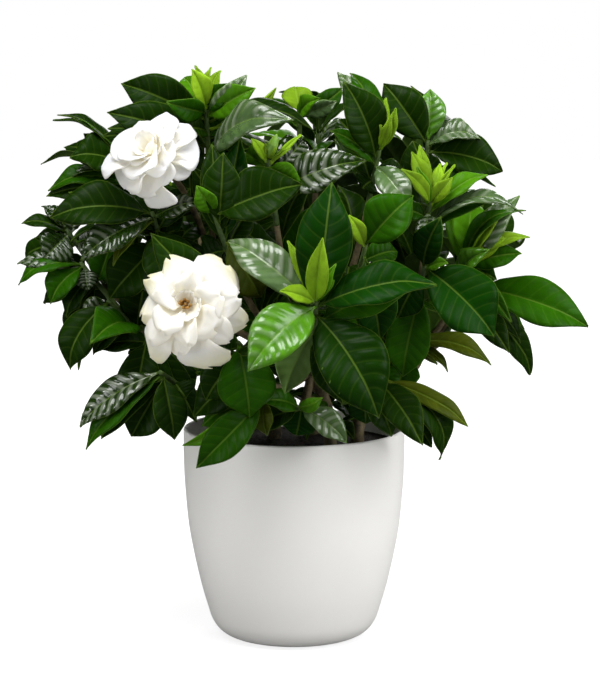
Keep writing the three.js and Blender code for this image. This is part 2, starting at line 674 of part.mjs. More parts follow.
function stemHole({ foot: [x, y] }) {
  const depth = POT_HEIGHT - STEM_HOLE_FLOOR;
  const radius = STEM_RADII[0] + STEM_HOLE_PLAY;
  const hole = new THREE.CylinderGeometry(radius, radius, depth, STEM_HOLE_SIDES);
  hole.rotateX(Math.PI / 2).translate(x, y, STEM_HOLE_FLOOR + depth / 2);
  return solidOfGeometry(hole);
}

function makeSoil() {
  const floor = POT_FLOOR + GAP;
  const rim = SOIL_TOP - SOIL_EDGE;
  const wall = innerOutline(POT_WALL + GAP, POT_FLOOR + SOIL_EDGE, rim);
  const coarse = wall.filter((_, step) => step % SOIL_WALL_STEP === 0);
  const edge = coarse.at(-1).x;
  const profile = [
    new THREE.Vector2(0, floor),
    new THREE.Vector2(coarse[0].x - POT_FLOOR, floor),
    ...coarse,
    new THREE.Vector2(edge, rim),
    new THREE.Vector2(edge * SOIL_SHOULDER.share, SOIL_TOP + SOIL_SHOULDER.rise),
    new THREE.Vector2(0, SOIL_TOP + SOIL_MOUND),
  ];
  const heap = solidOfGeometry(turned(profile));
  return Object.values(WOODY_STEMS).reduce((soil, stem) => soil.subtract(stemHole(stem)), heap);
}

// The straight twig of a leafy shoot, which ends at a point and points away from its fork
function twigTo(stem, apex, length) {
  const fork = new THREE.Vector3(...WOODY_STEMS[stem].fork);
  const along = apex.clone().sub(fork).normalize();
  along.z += SHOOT_LIFT;
  along.normalize();
  const start = apex.clone().addScaledVector(along, -length);
  return { ...stalk(start, along, length, SHOOT_RADII, SHOOT_SIDES), isOpenEnded: true };
}

function branchTo(stem, { start, along }) {
  const fork = new THREE.Vector3(...WOODY_STEMS[stem].fork);
  const end = start.clone().addScaledVector(along, -GAP);
  const ease = BRANCH_EASE * end.distanceTo(fork);
  const bend = end.clone().addScaledVector(along, -ease);
  return curvedTube(new THREE.QuadraticBezierCurve3(fork, bend, end), BRANCH_RADII, BRANCH_SIDES);
}

function trunkOf(stem) {
  const { foot: [x, y], fork } = WOODY_STEMS[stem];
  const top = new THREE.Vector3(...fork);
  const low = new THREE.Vector3(x, y, STEM_FOOT_HEIGHT);
  const straight = new THREE.Vector3(x, y, STEM_STRAIGHT);
  const bend = new THREE.Vector3(x, y, (STEM_STRAIGHT + top.z) / 2);
  const curve = new THREE.QuadraticBezierCurve3(straight, bend, top);
  const points = [low, ...curve.getPoints(STEM_BEND_STEPS)];
  const alongs = points.map((point, step) =>
    step < 2 ? UNIT_Z : point.clone().sub(points[step - 1]).normalize(),
  );
  return tube(points, alongs, STEM_RADII, STEM_SIDES);
}

// Front leaves: the tip keeps its place in the front view and shifts in depth to stay clear
function frontLeaves({ apex, leaves }, twig) {
  return leaves.map(([share, across, down, reach, width, roll, arch]) => {
    const tipAt = (shift) => place(across, down, apex[2] - reach - shift);
    const direction = tipAt(0).sub(twigPoint(twig, share * twig.length));
    return { share, direction, tipAt, width, roll, arch };
  });
}

function frontChoices({ seat, root, middle, tipAt, roll, arch, ...leaf }) {
  const width = FRONT_BREADTH * leaf.width;
  const stations = width > MEDIUM_WIDTH ? BROAD_LEAF : MEDIUM_LEAF;
  return DEPTH_SHIFTS.map((shift) => {
    const tip = tipAt(shift);
    const along = tip.clone().sub(root).normalize();
    const face = EYE.clone().sub(tip).normalize();
    face.z += FACE_LIFT;
    face.addScaledVector(along, -face.dot(along));
    face.applyAxisAngle(along, THREE.MathUtils.degToRad(roll));
    return { seat, root, middle, tip, face, width, arch, fold: LEAF_FOLD, stations };
  });
}

// Outer leaves: each is turned round the shoot and leans out; it pitches or shrinks to stay clear
function outerChoices({ seat, root, middle, direction, along, length, angle, width }) {
  return SIZE_SHIFTS.flatMap((size) =>
    PITCH_SHIFTS.map((shift) => {
      const lean = THREE.MathUtils.degToRad(angle + shift);
      const tip = root
        .clone()
        .addScaledVector(along, length * size * Math.cos(lean))
        .addScaledVector(direction, length * size * Math.sin(lean));
      const look = { face: along, width: width * size, arch: OUTER_ARCH, fold: LEAF_FOLD };
      return { seat, root, middle, tip, ...look, stations: MEDIUM_LEAF };
    }),
  ).filter(({ tip }) => isInCrown(tip));
}

function isInCrown(tip) {
  const { x, z, wide, tall, deep } = CROWN_OVAL;
  const inOval = ((tip.x - x) / wide) ** 2 + ((tip.z - z) / tall) ** 2 < 1;
  return inOval && tip.y < deep && !(tip.x > BARE_RIGHT.x && tip.z < BARE_RIGHT.z);
}

function outerLeaves(draw, size, along) {
  const flat = new THREE.Vector3().crossVectors(UNIT_Z, along).normalize();
  return WHORLS.toReversed().flatMap(([share, length, angle], whorl) =>
    Array.from({ length: WHORL_LEAVES }, (_, number) => {
      const even = ((number + whorl / 2) / WHORL_LEAVES) * 2 * Math.PI;
      const turn = even + WHORL_SPREAD.turn * (draw() - 0.5);
      const long = length * size * (1 + WHORL_SPREAD.length * (draw() - 0.5));
      const lean = angle + WHORL_SPREAD.angle * (draw() - 0.5);
      const direction = flat.clone().applyAxisAngle(along, turn);
      return { share, direction, along, length: long, angle: lean, width: long * LEAF_SLENDERNESS };
    }),
  );
}

function outerShoots() {
  const draw = seededDraw(DRAW_SEED);
  return OUTER_RINGS.flatMap((ring) =>
    Array.from({ length: ring.count }, (_, number) => {
      const even = ring.from + ring.step * number;
      const turn = THREE.MathUtils.degToRad(even + RING_SPREAD.turn * (draw() - 0.5));
      const out = ring.out * (1 + RING_SPREAD.out * (draw() - 0.5));
      const apex = new THREE.Vector3(
        PLANT_MIDDLE[0] + out * Math.cos(turn),
        PLANT_MIDDLE[1] + out * Math.sin(turn),
        ring.height + RING_SPREAD.height * (draw() - 0.5),
      );
      const stem = nearestStem(apex);
      const twig = twigTo(stem, apex, SHOOT_LENGTH);
      const leaves = outerLeaves(draw, ring.size, twig.along);
      const name = `shoot_back_${ring.name}_${number + 1}`;
      return { name, stem, twig, leaves, choices: outerChoices };
    }),
  );
}

// Shoots behind the plant's middle grow from the back stem, and the others from the side stems
function nearestStem(point) {
  const sideways = point.x - PLANT_MIDDLE[0];
  if (Math.abs(sideways) < BACK_SPREAD * point.y) {
    return "back";
  }
  return sideways > 0 ? "right" : "left";
}

// A bloom: layers of petals on a short flaring tube, and a green calyx with sepals behind it
function bloomParts({ name, heart, axis, layers }) {
  const middle = place(...heart);
  const along = new THREE.Vector3(...axis).normalize();
  const behind = (distance) => middle.clone().addScaledVector(along, -distance);
  const corolla = stalk(behind(COROLLA.back), along, COROLLA.length, COROLLA.radii, COROLLA.sides);
  const petals = layers.flatMap(({ tips, ...layer }) =>
    tips.map(([across, down, reach]) => {
      const tipAt = (shift) => place(across, down, heart[2] - reach - shift);
      return { ...layer, along, tipAt, direction: tipAt(0).sub(middle) };
    }),
  );
  const cup = stalk(behind(CALYX.back), along, CALYX.length, CALYX.radii, CALYX.sides);
  return {
    flower: grow(name, corolla, petals, petalChoices),
    calyx: grow(`${name}_calyx`, cup, sepalsOf(cup, SEPAL), sepalChoices),
    foot: cup,
  };
}

// Seats a stalk's blades, settles each and joins them to the stalk
function grow(owner, twig, leaves, choices) {
  takeStalk(owner, twig);
  const seats = seatLeaves(twig, leaves);
  for (const leaf of leaves) {
    leaf.choice = settle(owner, choices(leaf));
  }
  return makeShoot(twig, seats);
}

function petalChoices({ seat, root, middle, tipAt, along, width, arch }) {
  return PETAL_SHIFTS.map((shift) => {
    const tip = tipAt(shift);
    const line = tip.clone().sub(root).normalize();
    const face = along.clone().addScaledVector(line, -along.dot(line));
    face.applyAxisAngle(line, PETAL_ROLL);
    return { seat, root, middle, tip, face, width, arch, fold: PETAL_FOLD, stations: PETAL };
  });
}

// Narrow pointed sepals, one on each side of a stalk, leaning out from it
function sepalsOf(twig, sepal) {
  const [across] = twig.frame;
  return Array.from({ length: twig.sides }, (_, number) => {
    const direction = across.clone().applyAxisAngle(twig.along, (number / twig.sides) * 2 * Math.PI);
    return { ...sepal, along: twig.along, direction };
  });
}

function sepalChoices({ seat, root, middle, along, direction, length, angle, width, arch }) {
  const lean = THREE.MathUtils.degToRad(angle);
  const tip = root
    .clone()
    .addScaledVector(along, length * Math.cos(lean))
    .addScaledVector(direction, length * Math.sin(lean));
  return [{ seat, root, middle, tip, face: along, width, arch, fold: LEAF_FOLD, stations: MEDIUM_LEAF }];
}

// A bud stands just above its shoot's apex
function makeBud(bud, twig, apexDepth) {
  const [across, down, reach] = bud.tip;
  const tip = place(across, down, apexDepth - reach);
  const along = tip.clone().sub(twig.apex).normalize();
  const base = twig.apex.clone().addScaledVector(twig.along, GAP);
  base.addScaledVector(along, bud.radius * BUD_LIFT);
  const length = tip.distanceTo(base);
  const middles = BUD_OUTLINE.map(([share]) => base.clone().addScaledVector(along, length * share));
  const radii = BUD_OUTLINE.map(([, wide]) => bud.radius * wide);
  return tube(middles, middles.map(() => along), radii, BUD_SIDES);
}

const plant = new THREE.Group();

plant.add(meshOf("pot", take("pot", makePot()), "pot"));
plant.add(meshOf("soil", take("soil", makeSoil()), "soil"));

const flowers = BLOOMS.map((bloom) => ({ ...bloom, ...bloomParts(bloom) }));
for (const { name, flower, calyx } of flowers) {
  plant.add(meshOf(name, flower, "petal"));
  plant.add(meshOf(`${name}_calyx`, calyx, "calyx"));
}

const frontShoots = FRONT_SHOOTS.map((shoot) => {
  const twig = twigTo(shoot.stem, place(...shoot.apex), shoot.length ?? SHOOT_LENGTH);
  twig.isOpenEnded = !BUDS.some((bud) => bud.shoot === shoot.name);
  const leaves = frontLeaves(shoot, twig);
  return { ...shoot, name: `shoot_${shoot.name}`, twig, leaves, choices: frontChoices };
});
const shoots = [...frontShoots, ...outerShoots()];
const flowerStalks = flowers.map(({ stem, foot: twig }) => ({ stem, twig }));

for (const stem of Object.keys(WOODY_STEMS)) {
  const carried = [...shoots, ...flowerStalks].filter((shoot) => shoot.stem === stem);
  const wood = fused([trunkOf(stem), ...carried.map(({ twig }) => branchTo(stem, twig))]);
  plant.add(meshOf(`woody_stem_${stem}`, take(`woody_stem_${stem}`, wood), "bark"));
}

for (const bud of BUDS) {
  const { twig, apex } = frontShoots.find(({ name }) => name === `shoot_${bud.shoot}`);
  plant.add(meshOf(bud.name, take(bud.name, makeBud(bud, twig, apex[2])), "calyx"));
}

for (const shoot of shoots) {
  takeStalk(shoot.name, shoot.twig);
  shoot.seats = seatLeaves(shoot.twig, shoot.leaves);
}
for (const { name, leaves, choices } of shoots) {
  for (const leaf of leaves) {
    leaf.choice = settle(name, choices(leaf));
  }
}
for (const { name, twig, seats } of shoots) {
  plant.add(meshOf(name, makeShoot(twig, seats), "leaf"));
}

export default plant;
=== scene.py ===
"""Potted gardenia: fine leaves, petals, stems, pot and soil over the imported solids, with their looks.

Lengths are millimetres here and metres in the meshes. +Z is up and the front faces -Y.
"""
import math

import bpy
import numpy as np
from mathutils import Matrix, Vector, kdtree, noise


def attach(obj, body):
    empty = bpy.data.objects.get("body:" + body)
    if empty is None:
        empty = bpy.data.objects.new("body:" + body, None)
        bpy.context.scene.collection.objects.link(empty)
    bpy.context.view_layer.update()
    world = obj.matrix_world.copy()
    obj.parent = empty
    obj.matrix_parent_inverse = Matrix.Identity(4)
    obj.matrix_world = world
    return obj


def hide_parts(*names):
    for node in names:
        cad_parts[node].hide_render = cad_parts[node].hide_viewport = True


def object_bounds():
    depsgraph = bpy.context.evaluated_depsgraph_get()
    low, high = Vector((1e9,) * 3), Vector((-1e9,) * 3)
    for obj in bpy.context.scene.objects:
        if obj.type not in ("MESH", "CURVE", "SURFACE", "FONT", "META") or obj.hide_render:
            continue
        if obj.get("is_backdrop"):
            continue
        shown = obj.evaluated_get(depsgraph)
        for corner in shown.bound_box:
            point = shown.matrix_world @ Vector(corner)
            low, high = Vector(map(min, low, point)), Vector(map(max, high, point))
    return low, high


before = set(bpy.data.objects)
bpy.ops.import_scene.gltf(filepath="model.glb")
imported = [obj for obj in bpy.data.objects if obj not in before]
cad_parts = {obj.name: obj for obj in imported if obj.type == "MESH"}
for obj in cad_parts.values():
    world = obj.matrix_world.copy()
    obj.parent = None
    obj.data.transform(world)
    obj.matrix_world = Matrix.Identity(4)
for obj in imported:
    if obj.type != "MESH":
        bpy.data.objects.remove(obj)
cad_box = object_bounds()

MM = 0.001
TURN = 2 * math.pi

# Pot and soil
POT_HEIGHT = 152
RIM_RADIUS = 80
FOOT_RADIUS = 41
FOOT_BEND = 57
POT_WALL = 3
POT_FLOOR = 6
POT_SIDE = [[61.8, 17], [68.7, 41.5], [76, 78], [79.2, 112], [RIM_RADIUS, 134]]
POT_TURNS = 144
SOIL_TOP = 140
SOIL_MOUND = 3
SOIL_TURNS = 120
SOIL_RINGS = 44
SOIL_ROUGH_RADIUS = 74
SOIL_LUMPS = {"scale": 0.055, "height": 1.6}
SOIL_CRUMBS = {"scale": 0.42, "height": 1.1}
GAP = 0.3

# Woody stems: where each stands in the soil and where it forks
WOODY_STEMS = {
    "left": {"foot": [-14, 8], "fork": [-52, -6, 208]},
    "front": {"foot": [26, -18], "fork": [12, -44, 200]},
    "right": {"foot": [46, -4], "fork": [78, -10, 208]},
    "back": {"foot": [14, 30], "fork": [8, 48, 214]},
}
STEM_FOOT_HEIGHT = 96
STEM_STRAIGHT = 146
STEM_RADII = [4.6, 4.6, 4.2, 3.8]
BRANCH_RADII = [2.8, 2.5, 2.2]
BRANCH_EASE = 0.45
STEM_STEPS = 14

# Leafy shoots, some of them short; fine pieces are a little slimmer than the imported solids
SHOOT_LENGTH = 46
SHORT_SHOOTS = {"rim_right": 30, "rim_front": 22}
SHOOT_RADII = [2.2, 1.6]
SHOOT_SIDES = 4
SHOOT_LIFT = 0.5
SEAT_HEIGHT = 1.2
CREST_ANGLE = math.radians(42)
BLADE_THICKNESS = 0.8
FRONT_BREADTH = 1.12
FACE_LIFT = 0.5
FOUND_WITHIN = 0.03
SLIMMER = 0.95
TWIG_SLIMMER = 0.92
TWIG_GREEN = [0.07, 0.14, 0.03, 0.4]

# The front view of the plant: an eye in front looks slightly down on it
EYE = np.array([4.3, -1650, 440])
LOOK_DOWN = math.radians(8)
SHEET_MIDDLE = [300, 350]
SHEET_REACH = 2311
SHEET_SIZE = [600, 700]

# Front shoots: name, stem, apex [across, down, depth] in the front view, the leaves of its packed
# node, and more leaves that are placed where they have room. A leaf is its share along the shoot,
# tip across, tip down, reach in front of the apex, width, tone, and its roll and arch where they
# aren't the usual ones.
USUAL_ROLL_AND_ARCH = [0, 0.1]
FRONT_SHOOTS = [
    ["crown_left", "left", [206, 104, -62], [
        [1, 197, 66, 8, 7, "lime", 20, 0.05], [1, 209, 66, 0, 7, "lime", -30, 0.05],
        [0.95, 193, 70, 14, 15, "lime", 10, 0.05], [0.9, 184, 76, -8, 18, "bright", 0, 0.08],
        [0.9, 168, 103, 22, 16, "mid", -50, 0.12], [0.85, 246, 77, 12, 15, "pale", 35, 0.1],
        [0.8, 254, 88, 16, 20, "bright", 10, 0.1], [0.75, 121, 83, -6, 28, "dark", -20, 0.12],
        [0.7, 313, 124, 10, 20, "dark", -40, 0.15], [0.6, 278, 90, -10, 11, "lime", 70, 0.1],
        [0.35, 108, 112, 6, 28, "dark", -15, 0.15], [0.15, 282, 114, 25, 30, "pale", -10, 0.12],
    ], [
        [0.2, 104, 132, -8, 28, "dark"], [0.4, 236, 156, -4, 18, "mid"], [0.5, 232, 144, -8, 19, "dark"],
        [0.3, 240, 132, -14, 19, "deep"], [0.9, 226, 84, 8, 16, "mid"],
        [1, 220, 70, -4, 9, "lime", -20, 0.05], [0.5, 294, 136, 4, 22, "ribbed", 0, 0.14],
        [0.4, 250, 130, 0, 22, "mid"], [0.8, 232, 96, 14, 12, "bright", 30, 0.1],
        [0.6, 186, 128, 12, 16, "dark"], [0.5, 228, 118, -10, 16, "mid"],
        [0.5, 192, 110, -12, 16, "dark"], [0.35, 108, 127, -4, 19, "dark"],
    ]],
    ["left_upper", "left", [122, 158, -35], [
        [1, 57, 114, -10, 18, "mid", 60, 0.1], [0.9, 71, 155, 10, 30, "dark", 10, 0.12],
        [0.8, 42, 158, -12, 14, "dark", 70, 0.1], [0.6, 48, 184, 5, 20, "mid", 30, 0.1],
        [0.5, 62, 142, -15, 22, "dark"],
    ], [
        [0.7, 100, 118, -14, 26, "dark", 10, 0.1], [0.4, 94, 198, 0, 24, "dark"],
        [0.5, 140, 112, -20, 24, "dark"], [0.9, 66, 178, 2, 10, "ribbed", 30, 0.1],
        [0.7, 84, 132, -10, 18, "dark"], [0.8, 64, 196, -8, 18, "dark", 0, 0.12],
        [0.6, 80, 186, 4, 12, "mid", 30, 0.1], [0.5, 108, 130, -6, 20, "dark"],
        [0.6, 46, 195, 0, 19, "dark"], [1, 60, 111, -4, 12, "dark", 40, 0.1],
    ]],
    ["left_middle", "left", [152, 212, -78], [
        [1, 50, 216, 6, 32, "dark", 10, 0.12], [0.9, 200, 200, 16, 15, "ribbed"],
        [0.9, 80, 259, 14, 24, "ribbed", 10, 0.12], [0.85, 112, 264, 18, 10, "olive", 30, 0.1],
        [0.7, 178, 290, 6, 34, "dark"], [0.5, 108, 298, -6, 30, "dark"],
    ], [
        [0.8, 68, 190, -10, 24, "dark"], [0.6, 208, 284, -12, 28, "dark"],
        [0.5, 190, 256, 2, 20, "ribbed"], [0.3, 130, 290, -8, 24, "ribbed"],
        [0.6, 92, 232, 2, 18, "ribbed", 20, 0.1], [0.4, 164, 266, 8, 17, "pale"],
        [0.3, 196, 224, -14, 19, "dark"], [0.7, 190, 188, -12, 19, "dark"],
        [0.6, 184, 230, -8, 19, "dark"], [0.5, 164, 248, -14, 19, "deep"],
        [0.4, 176, 200, -18, 19, "deep"], [0.6, 139, 188, -14, 19, "dark"],
        [0.2, 150, 202, -20, 19, "dark"], [0.3, 142, 246, -18, 19, "dark"],
        [0.8, 118, 236, -6, 20, "ribbed"], [0.2, 140, 252, -12, 22, "deep"],
    ]],
    ["left_outer", "left", [66, 229, -12], [
        [1, 22, 222, 4, 15, "dark", 30, 0.15], [1, 43, 204, -6, 15, "ribbed", 30, 0.1],
        [0.9, 44, 258, 10, 26, "ribbed", -10, 0.15],
    ], [
        [0.8, 22, 260, -6, 18, "dark", 0, 0.12], [0.6, 92, 252, -6, 18, "ribbed"],
        [0.9, 72, 200, -8, 14, "ribbed", 10, 0.1], [0.9, 72, 246, 6, 8, "lime", 20, 0.1],
        [0.7, 96, 240, 10, 18, "ribbed", 0, 0.12], [0.5, 80, 268, -12, 18, "dark"],
        [0.8, 34, 238, -8, 14, "dark", 20, 0.1], [0.4, 92, 222, -14, 18, "deep"],
    ]],
    ["left_lower", "left", [80, 262, -20], [
        [1, 17, 281, 0, 18, "mid", 30, 0.18], [0.9, 50, 303, 10, 22, "mid", 15, 0.15],
        [0.7, 64, 316, 2, 18, "dark", 30, 0.1],
    ], [
        [0.8, 94, 318, 4, 24, "dark"], [0.6, 110, 246, -12, 20, "mid"], [0.5, 40, 300, -14, 18, "dark"],
        [0.7, 112, 288, 2, 20, "ribbed"], [0.6, 66, 336, -8, 16, "dark"],
        [0.9, 88, 290, 8, 16, "ribbed", 0, 0.12], [0.4, 100, 270, -16, 20, "deep"],
        [0.8, 34, 266, -14, 14, "dark", 20, 0.1], [0.9, 17, 262, -6, 16, "ribbed", 20, 0.1],
    ]],
    ["left_low", "left", [108, 300, -60], [
        [1, 68, 369, 0, 26, "dark", 15, 0.2], [0.7, 78, 322, -4, 26, "ribbed", -20, 0.1],
        [0.6, 75, 367, -14, 16, "dark", 60, 0.1], [0.4, 93, 339, 16, 30, "mid", 0, 0.12],
        [0.3, 146, 276, -10, 28, "dark"],
    ], [
        [0.8, 100, 362, -8, 24, "dark", 0, 0.12], [0.5, 140, 330, -6, 24, "dark"],
        [0.6, 130, 300, 4, 20, "ribbed"], [0.5, 92, 352, 2, 16, "dark", 20, 0.1],
    ]],
    ["low_hanging", "left", [146, 336, -64], [
        [1, 132, 420, 6, 28, "dark", 0, 0.15], [0.9, 155, 408, -6, 26, "dark", 0, 0.12],
        [0.8, 104, 330, -10, 28, "dark"], [0.6, 186, 404, -12, 28, "dark"],
    ], [
        [0.8, 98, 348, -2, 19, "dark", 10, 0.1], [0.9, 190, 412, -2, 20, "dark"],
        [0.5, 128, 352, -14, 20, "deep"], [0.9, 197, 422, -6, 19, "dark"],
    ]],
    ["low_left", "left", [160, 372, -92], [
        [1, 79, 426, -4, 24, "ribbed", 20, 0.12], [0.9, 84, 448, 8, 20, "mid", 20, 0.12],
        [0.9, 175, 440, 0, 22, "dark"], [0.8, 131, 437, -8, 28, "dark", -10, 0.12],
    ], [
        [0.7, 104, 445, -2, 20, "dark", 0, 0.12], [0.5, 186, 398, 6, 22, "dark"],
        [0.8, 98, 438, -10, 19, "dark", 0, 0.12],
    ]],
    ["low_centre", "front", [238, 342, -118], [
        [1, 250, 418, 2, 36, "mid"], [0.8, 205, 400, -8, 24, "dark"], [0.6, 285, 352, -10, 24, "dark"],
        [0.4, 192, 416, -16, 26, "dark"],
    ], [
        [0.9, 262, 352, 4, 18, "dark"], [0.9, 224, 362, -10, 22, "dark"],
        [0.3, 168, 350, -22, 19, "deep"], [0.2, 196, 372, -24, 19, "deep"],
    ]],
    ["rim_left", "front", [262, 398, -106], [
        [1, 196, 468, 8, 24, "mid", -15, 0.2], [1, 266, 435, 14, 14, "olive", 20, 0.2],
        [0.9, 183, 447, 0, 11, "bright", -40, 0.15], [0.7, 200, 424, -10, 26, "mid", 0, 0.15],
    ], []],
    ["middle_left", "front", [213, 213, -98], [
        [1, 301, 183, 6, 34, "dark", 0, 0.12], [1, 197, 187, 10, 14, "bright", -30, 0.1],
        [0.8, 223, 153, 0, 24, "dark"], [0.7, 244, 262, -6, 26, "dark", 0, 0.12],
        [0.5, 262, 298, -16, 28, "olive"],
    ], [
        [0.7, 238, 186, -16, 24, "dark"], [0.4, 200, 262, -16, 26, "dark"],
        [0.6, 212, 144, -12, 19, "dark"], [0.5, 193, 166, -14, 19, "dark"],
        [0.5, 240, 138, -18, 19, "deep"], [0.4, 248, 212, -14, 19, "dark"],
    ]],
    ["young_left", "front", [268, 160, -86], [
        [1, 252, 138, 4, 8, "lime", 20, 0.1], [1, 290, 148, 2, 4, "lime", 0, 0.02],
        [1, 301, 134, -4, 4, "lime", 0, 0.02], [0.95, 243, 150, 8, 12, "bright", -20, 0.1],
        [0.9, 300, 183, 22, 16, "bright", 20, 0.1], [0.7, 304, 140, -12, 22, "ribbed", 20, 0.2],
        [0.5, 363, 158, 4, 28, "ribbed", 0, 0.12],
    ], []],
    ["crown_middle", "back", [299, 110, -22], [
        [1, 295, 86, -14, 20, "lime"], [0.95, 337, 102, 0, 12, "pale", 50, 0.1],
        [0.7, 255, 98, -16, 20, "mid", 30, 0.1],
    ], [
        [0.9, 344, 88, -8, 14, "mid", 30, 0.1], [0.7, 270, 124, -14, 20, "mid"],
        [0.8, 316, 98, -4, 16, "bright"],
    ]],
    ["crown_right", "front", [380, 146, -76], [
        [1, 391, 118, 10, 7, "lime", 20, 0.05], [1, 396, 109, -2, 8, "lime", 30, 0.03],
        [0.95, 386, 97, -10, 9, "lime", 0, 0.05], [0.9, 339, 70, -12, 20, "pale", 20, 0.08],
        [0.8, 345, 82, -2, 28, "dark", 10, 0.1], [0.7, 331, 130, 12, 18, "mid", 30, 0.12],
        [0.8, 411, 210, 26, 20, "pale", 0, 0.15],
    ], [
        [0.9, 352, 71, -22, 18, "mid", 20, 0.2], [0.5, 362, 188, 0, 20, "dark"],
        [0.4, 338, 118, -14, 22, "dark"], [0.7, 402, 176, 10, 16, "dark"],
    ]],
    ["middle_right", "front", [366, 244, -112], [
        [1, 412, 195, 6, 30, "mid", 0, 0.12], [1, 350, 216, 4, 10, "lime"],
        [0.8, 381, 341, -8, 28, "deep"], [0.7, 398, 250, -10, 18, "mid"],
    ], [
        [0.7, 366, 196, -12, 22, "dark"], [0.5, 424, 300, -14, 24, "deep"],
    ]],
    ["upper_right", "right", [428, 140, -42], [
        [1, 430, 89, -6, 20, "veined", 0, 0.08], [0.95, 384, 83, -4, 28, "dark", -10, 0.1],
        [0.9, 413, 84, -10, 10, "dark", 30, 0.1], [0.9, 480, 136, 4, 20, "pale", -20, 0.2],
        [0.8, 503, 171, -4, 28, "dark", 0, 0.12], [0.5, 462, 188, 10, 20, "mid"],
    ], [
        [0.7, 446, 112, -6, 18, "dark"], [0.6, 410, 120, 0, 20, "dark"],
    ]],
    ["young_right", "right", [430, 200, -86], [
        [1, 412, 152, 6, 12, "lime", 10, 0.08], [1, 420, 145, -2, 10, "lime", 0, 0.08],
        [1, 441, 163, 0, 9, "lime", 20, 0.08], [1, 447, 162, -6, 4, "lime", 0, 0.02],
        [1, 454, 165, -3, 4, "lime", 0, 0.02], [0.8, 486, 172, 4, 16, "bright", -20, 0.1],
        [0.9, 428, 249, 16, 14, "ribbed", 10, 0.1], [0.7, 396, 209, 14, 14, "mid"],
    ], [
        [0.6, 522, 207, -6, 17, "pale", -30, 0.22], [0.5, 505, 196, -14, 16, "mid", -10, 0.15],
        [0.4, 470, 226, -10, 22, "dark"], [0.98, 404, 170, 4, 10, "lime", -20, 0.08],
        [0.95, 452, 178, 6, 10, "lime", 20, 0.1], [0.9, 418, 168, 10, 8, "bright", 0, 0.08],
    ]],
    ["right", "right", [470, 258, -58], [
        [1, 500, 215, 0, 9, "lime", -10, 0.08], [1, 528, 234, 4, 12, "lime", -20, 0.1],
        [0.95, 511, 322, 16, 11, "mid", 20, 0.08], [0.9, 473, 198, 10, 22, "bright", 0, 0.12],
        [0.9, 521, 253, 10, 19, "mid", 0, 0.12], [0.8, 453, 200, 0, 15, "bright"],
        [0.8, 510, 207, -14, 14, "dark"], [0.7, 522, 207, -6, 14, "mid", -30, 0.28],
        [0.5, 488, 190, -18, 22, "dark"],
    ], [
        [0.9, 505, 236, 6, 12, "lime"], [0.6, 486, 250, 14, 18, "veined", 0, 0.14],
        [0.7, 500, 200, -10, 16, "deep"], [0.8, 496, 278, 8, 18, "mid"],
        [0.6, 517, 194, -10, 19, "pale", -10, 0.15],
    ]],
    ["right_low", "right", [476, 284, -36], [
        [1, 589, 325, 8, 32, "mid", 0, 0.13], [0.8, 522, 342, -6, 16, "dark", -30, 0.1],
        [0.8, 534, 375, 0, 18, "dark", -10, 0.12], [0.7, 529, 334, -12, 10, "mid", -20, 0.1],
    ], [
        [0.8, 509, 350, -8, 18, "dark"], [0.6, 500, 344, -14, 18, "deep"],
    ]],
    ["inner_right", "right", [424, 266, -92], [
        [1, 495, 336, 12, 42, "deep", 0, 0.12], [1, 447, 262, 6, 10, "bright", -20, 0.1],
        [0.9, 440, 218, 0, 20, "deep"], [0.8, 398, 318, -6, 24, "deep"], [0.5, 402, 378, -12, 28, "mid"],
    ], []],
    ["low_right", "right", [408, 342, -66], [
        [1, 492, 362, 6, 16, "olive", -20, 0.15], [0.9, 449, 370, 2, 9, "olive", -30, 0.15],
        [0.9, 438, 364, -6, 6, "olive", 0, 0.05], [0.5, 398, 392, 0, 24, "mid"],
    ], []],
    ["rim_right", "front", [386, 378, -80], [
        [1, 470, 424, 4, 14, "olive", -10, 0.1], [0.9, 443, 459, 10, 26, "dark", -20, 0.28],
        [0.7, 423, 412, -6, 16, "dark", -20, 0.12], [0.5, 392, 436, 4, 20, "dark", 0, 0.15],
    ], [
        [0.8, 422, 441, 0, 24, "dark", 0, 0.15], [0.6, 404, 428, -12, 20, "mid"],
        [0.8, 433, 447, -4, 19, "dark", 0, 0.15], [0.4, 366, 424, -10, 22, "deep"],
        [0.3, 346, 400, -14, 22, "deep"],
    ]],
    ["rim_front", "front", [298, 408, -94], [
        [1, 347, 442, 6, 18, "pale", 0, 0.12], [0.6, 262, 400, 0, 16, "mid"],
    ], [
        [0.9, 332, 426, -8, 22, "dark"], [0.7, 374, 430, -6, 22, "dark"], [0.6, 258, 426, -2, 20, "dark"],
        [0.4, 296, 436, -12, 22, "deep"], [0.3, 350, 412, -16, 22, "deep"],
        [0.2, 268, 414, -16, 22, "deep"], [1, 322, 398, 4, 10, "bright", 40, 0.3],
    ]],
    ["centre", "front", [316, 300, -142], [
        [1, 281, 290, 8, 13, "lime", 10, 0.08], [1, 335, 272, 4, 8, "bright", 0, 0.05],
        [0.95, 321, 239, 6, 13, "bright", 0, 0.08], [0.95, 288, 240, 2, 8, "lime", 10, 0.06],
        [0.9, 228, 238, 4, 26, "pale", 0, 0.12], [0.9, 248, 369, 26, 33, "veined", 0, 0.14],
        [0.85, 434, 279, 10, 30, "deep", -10, 0.12], [0.8, 331, 183, -4, 34, "deep", 0, 0.12],
        [0.7, 380, 415, 22, 42, "glossy", 0, 0.14], [0.5, 419, 277, -12, 26, "mid"],
        [0.4, 284, 393, -6, 24, "pale", 150, 0.1], [0.3, 344, 404, -6, 26, "dark", 0, 0.15],
    ], [
        [0.9, 341, 247, -8, 16, "mid"], [0.6, 296, 262, -14, 20, "dark"],
        [0.98, 322, 240, 16, 14, "lime"], [0.98, 334, 266, 18, 9, "bright", 10, 0.1],
    ]],
]

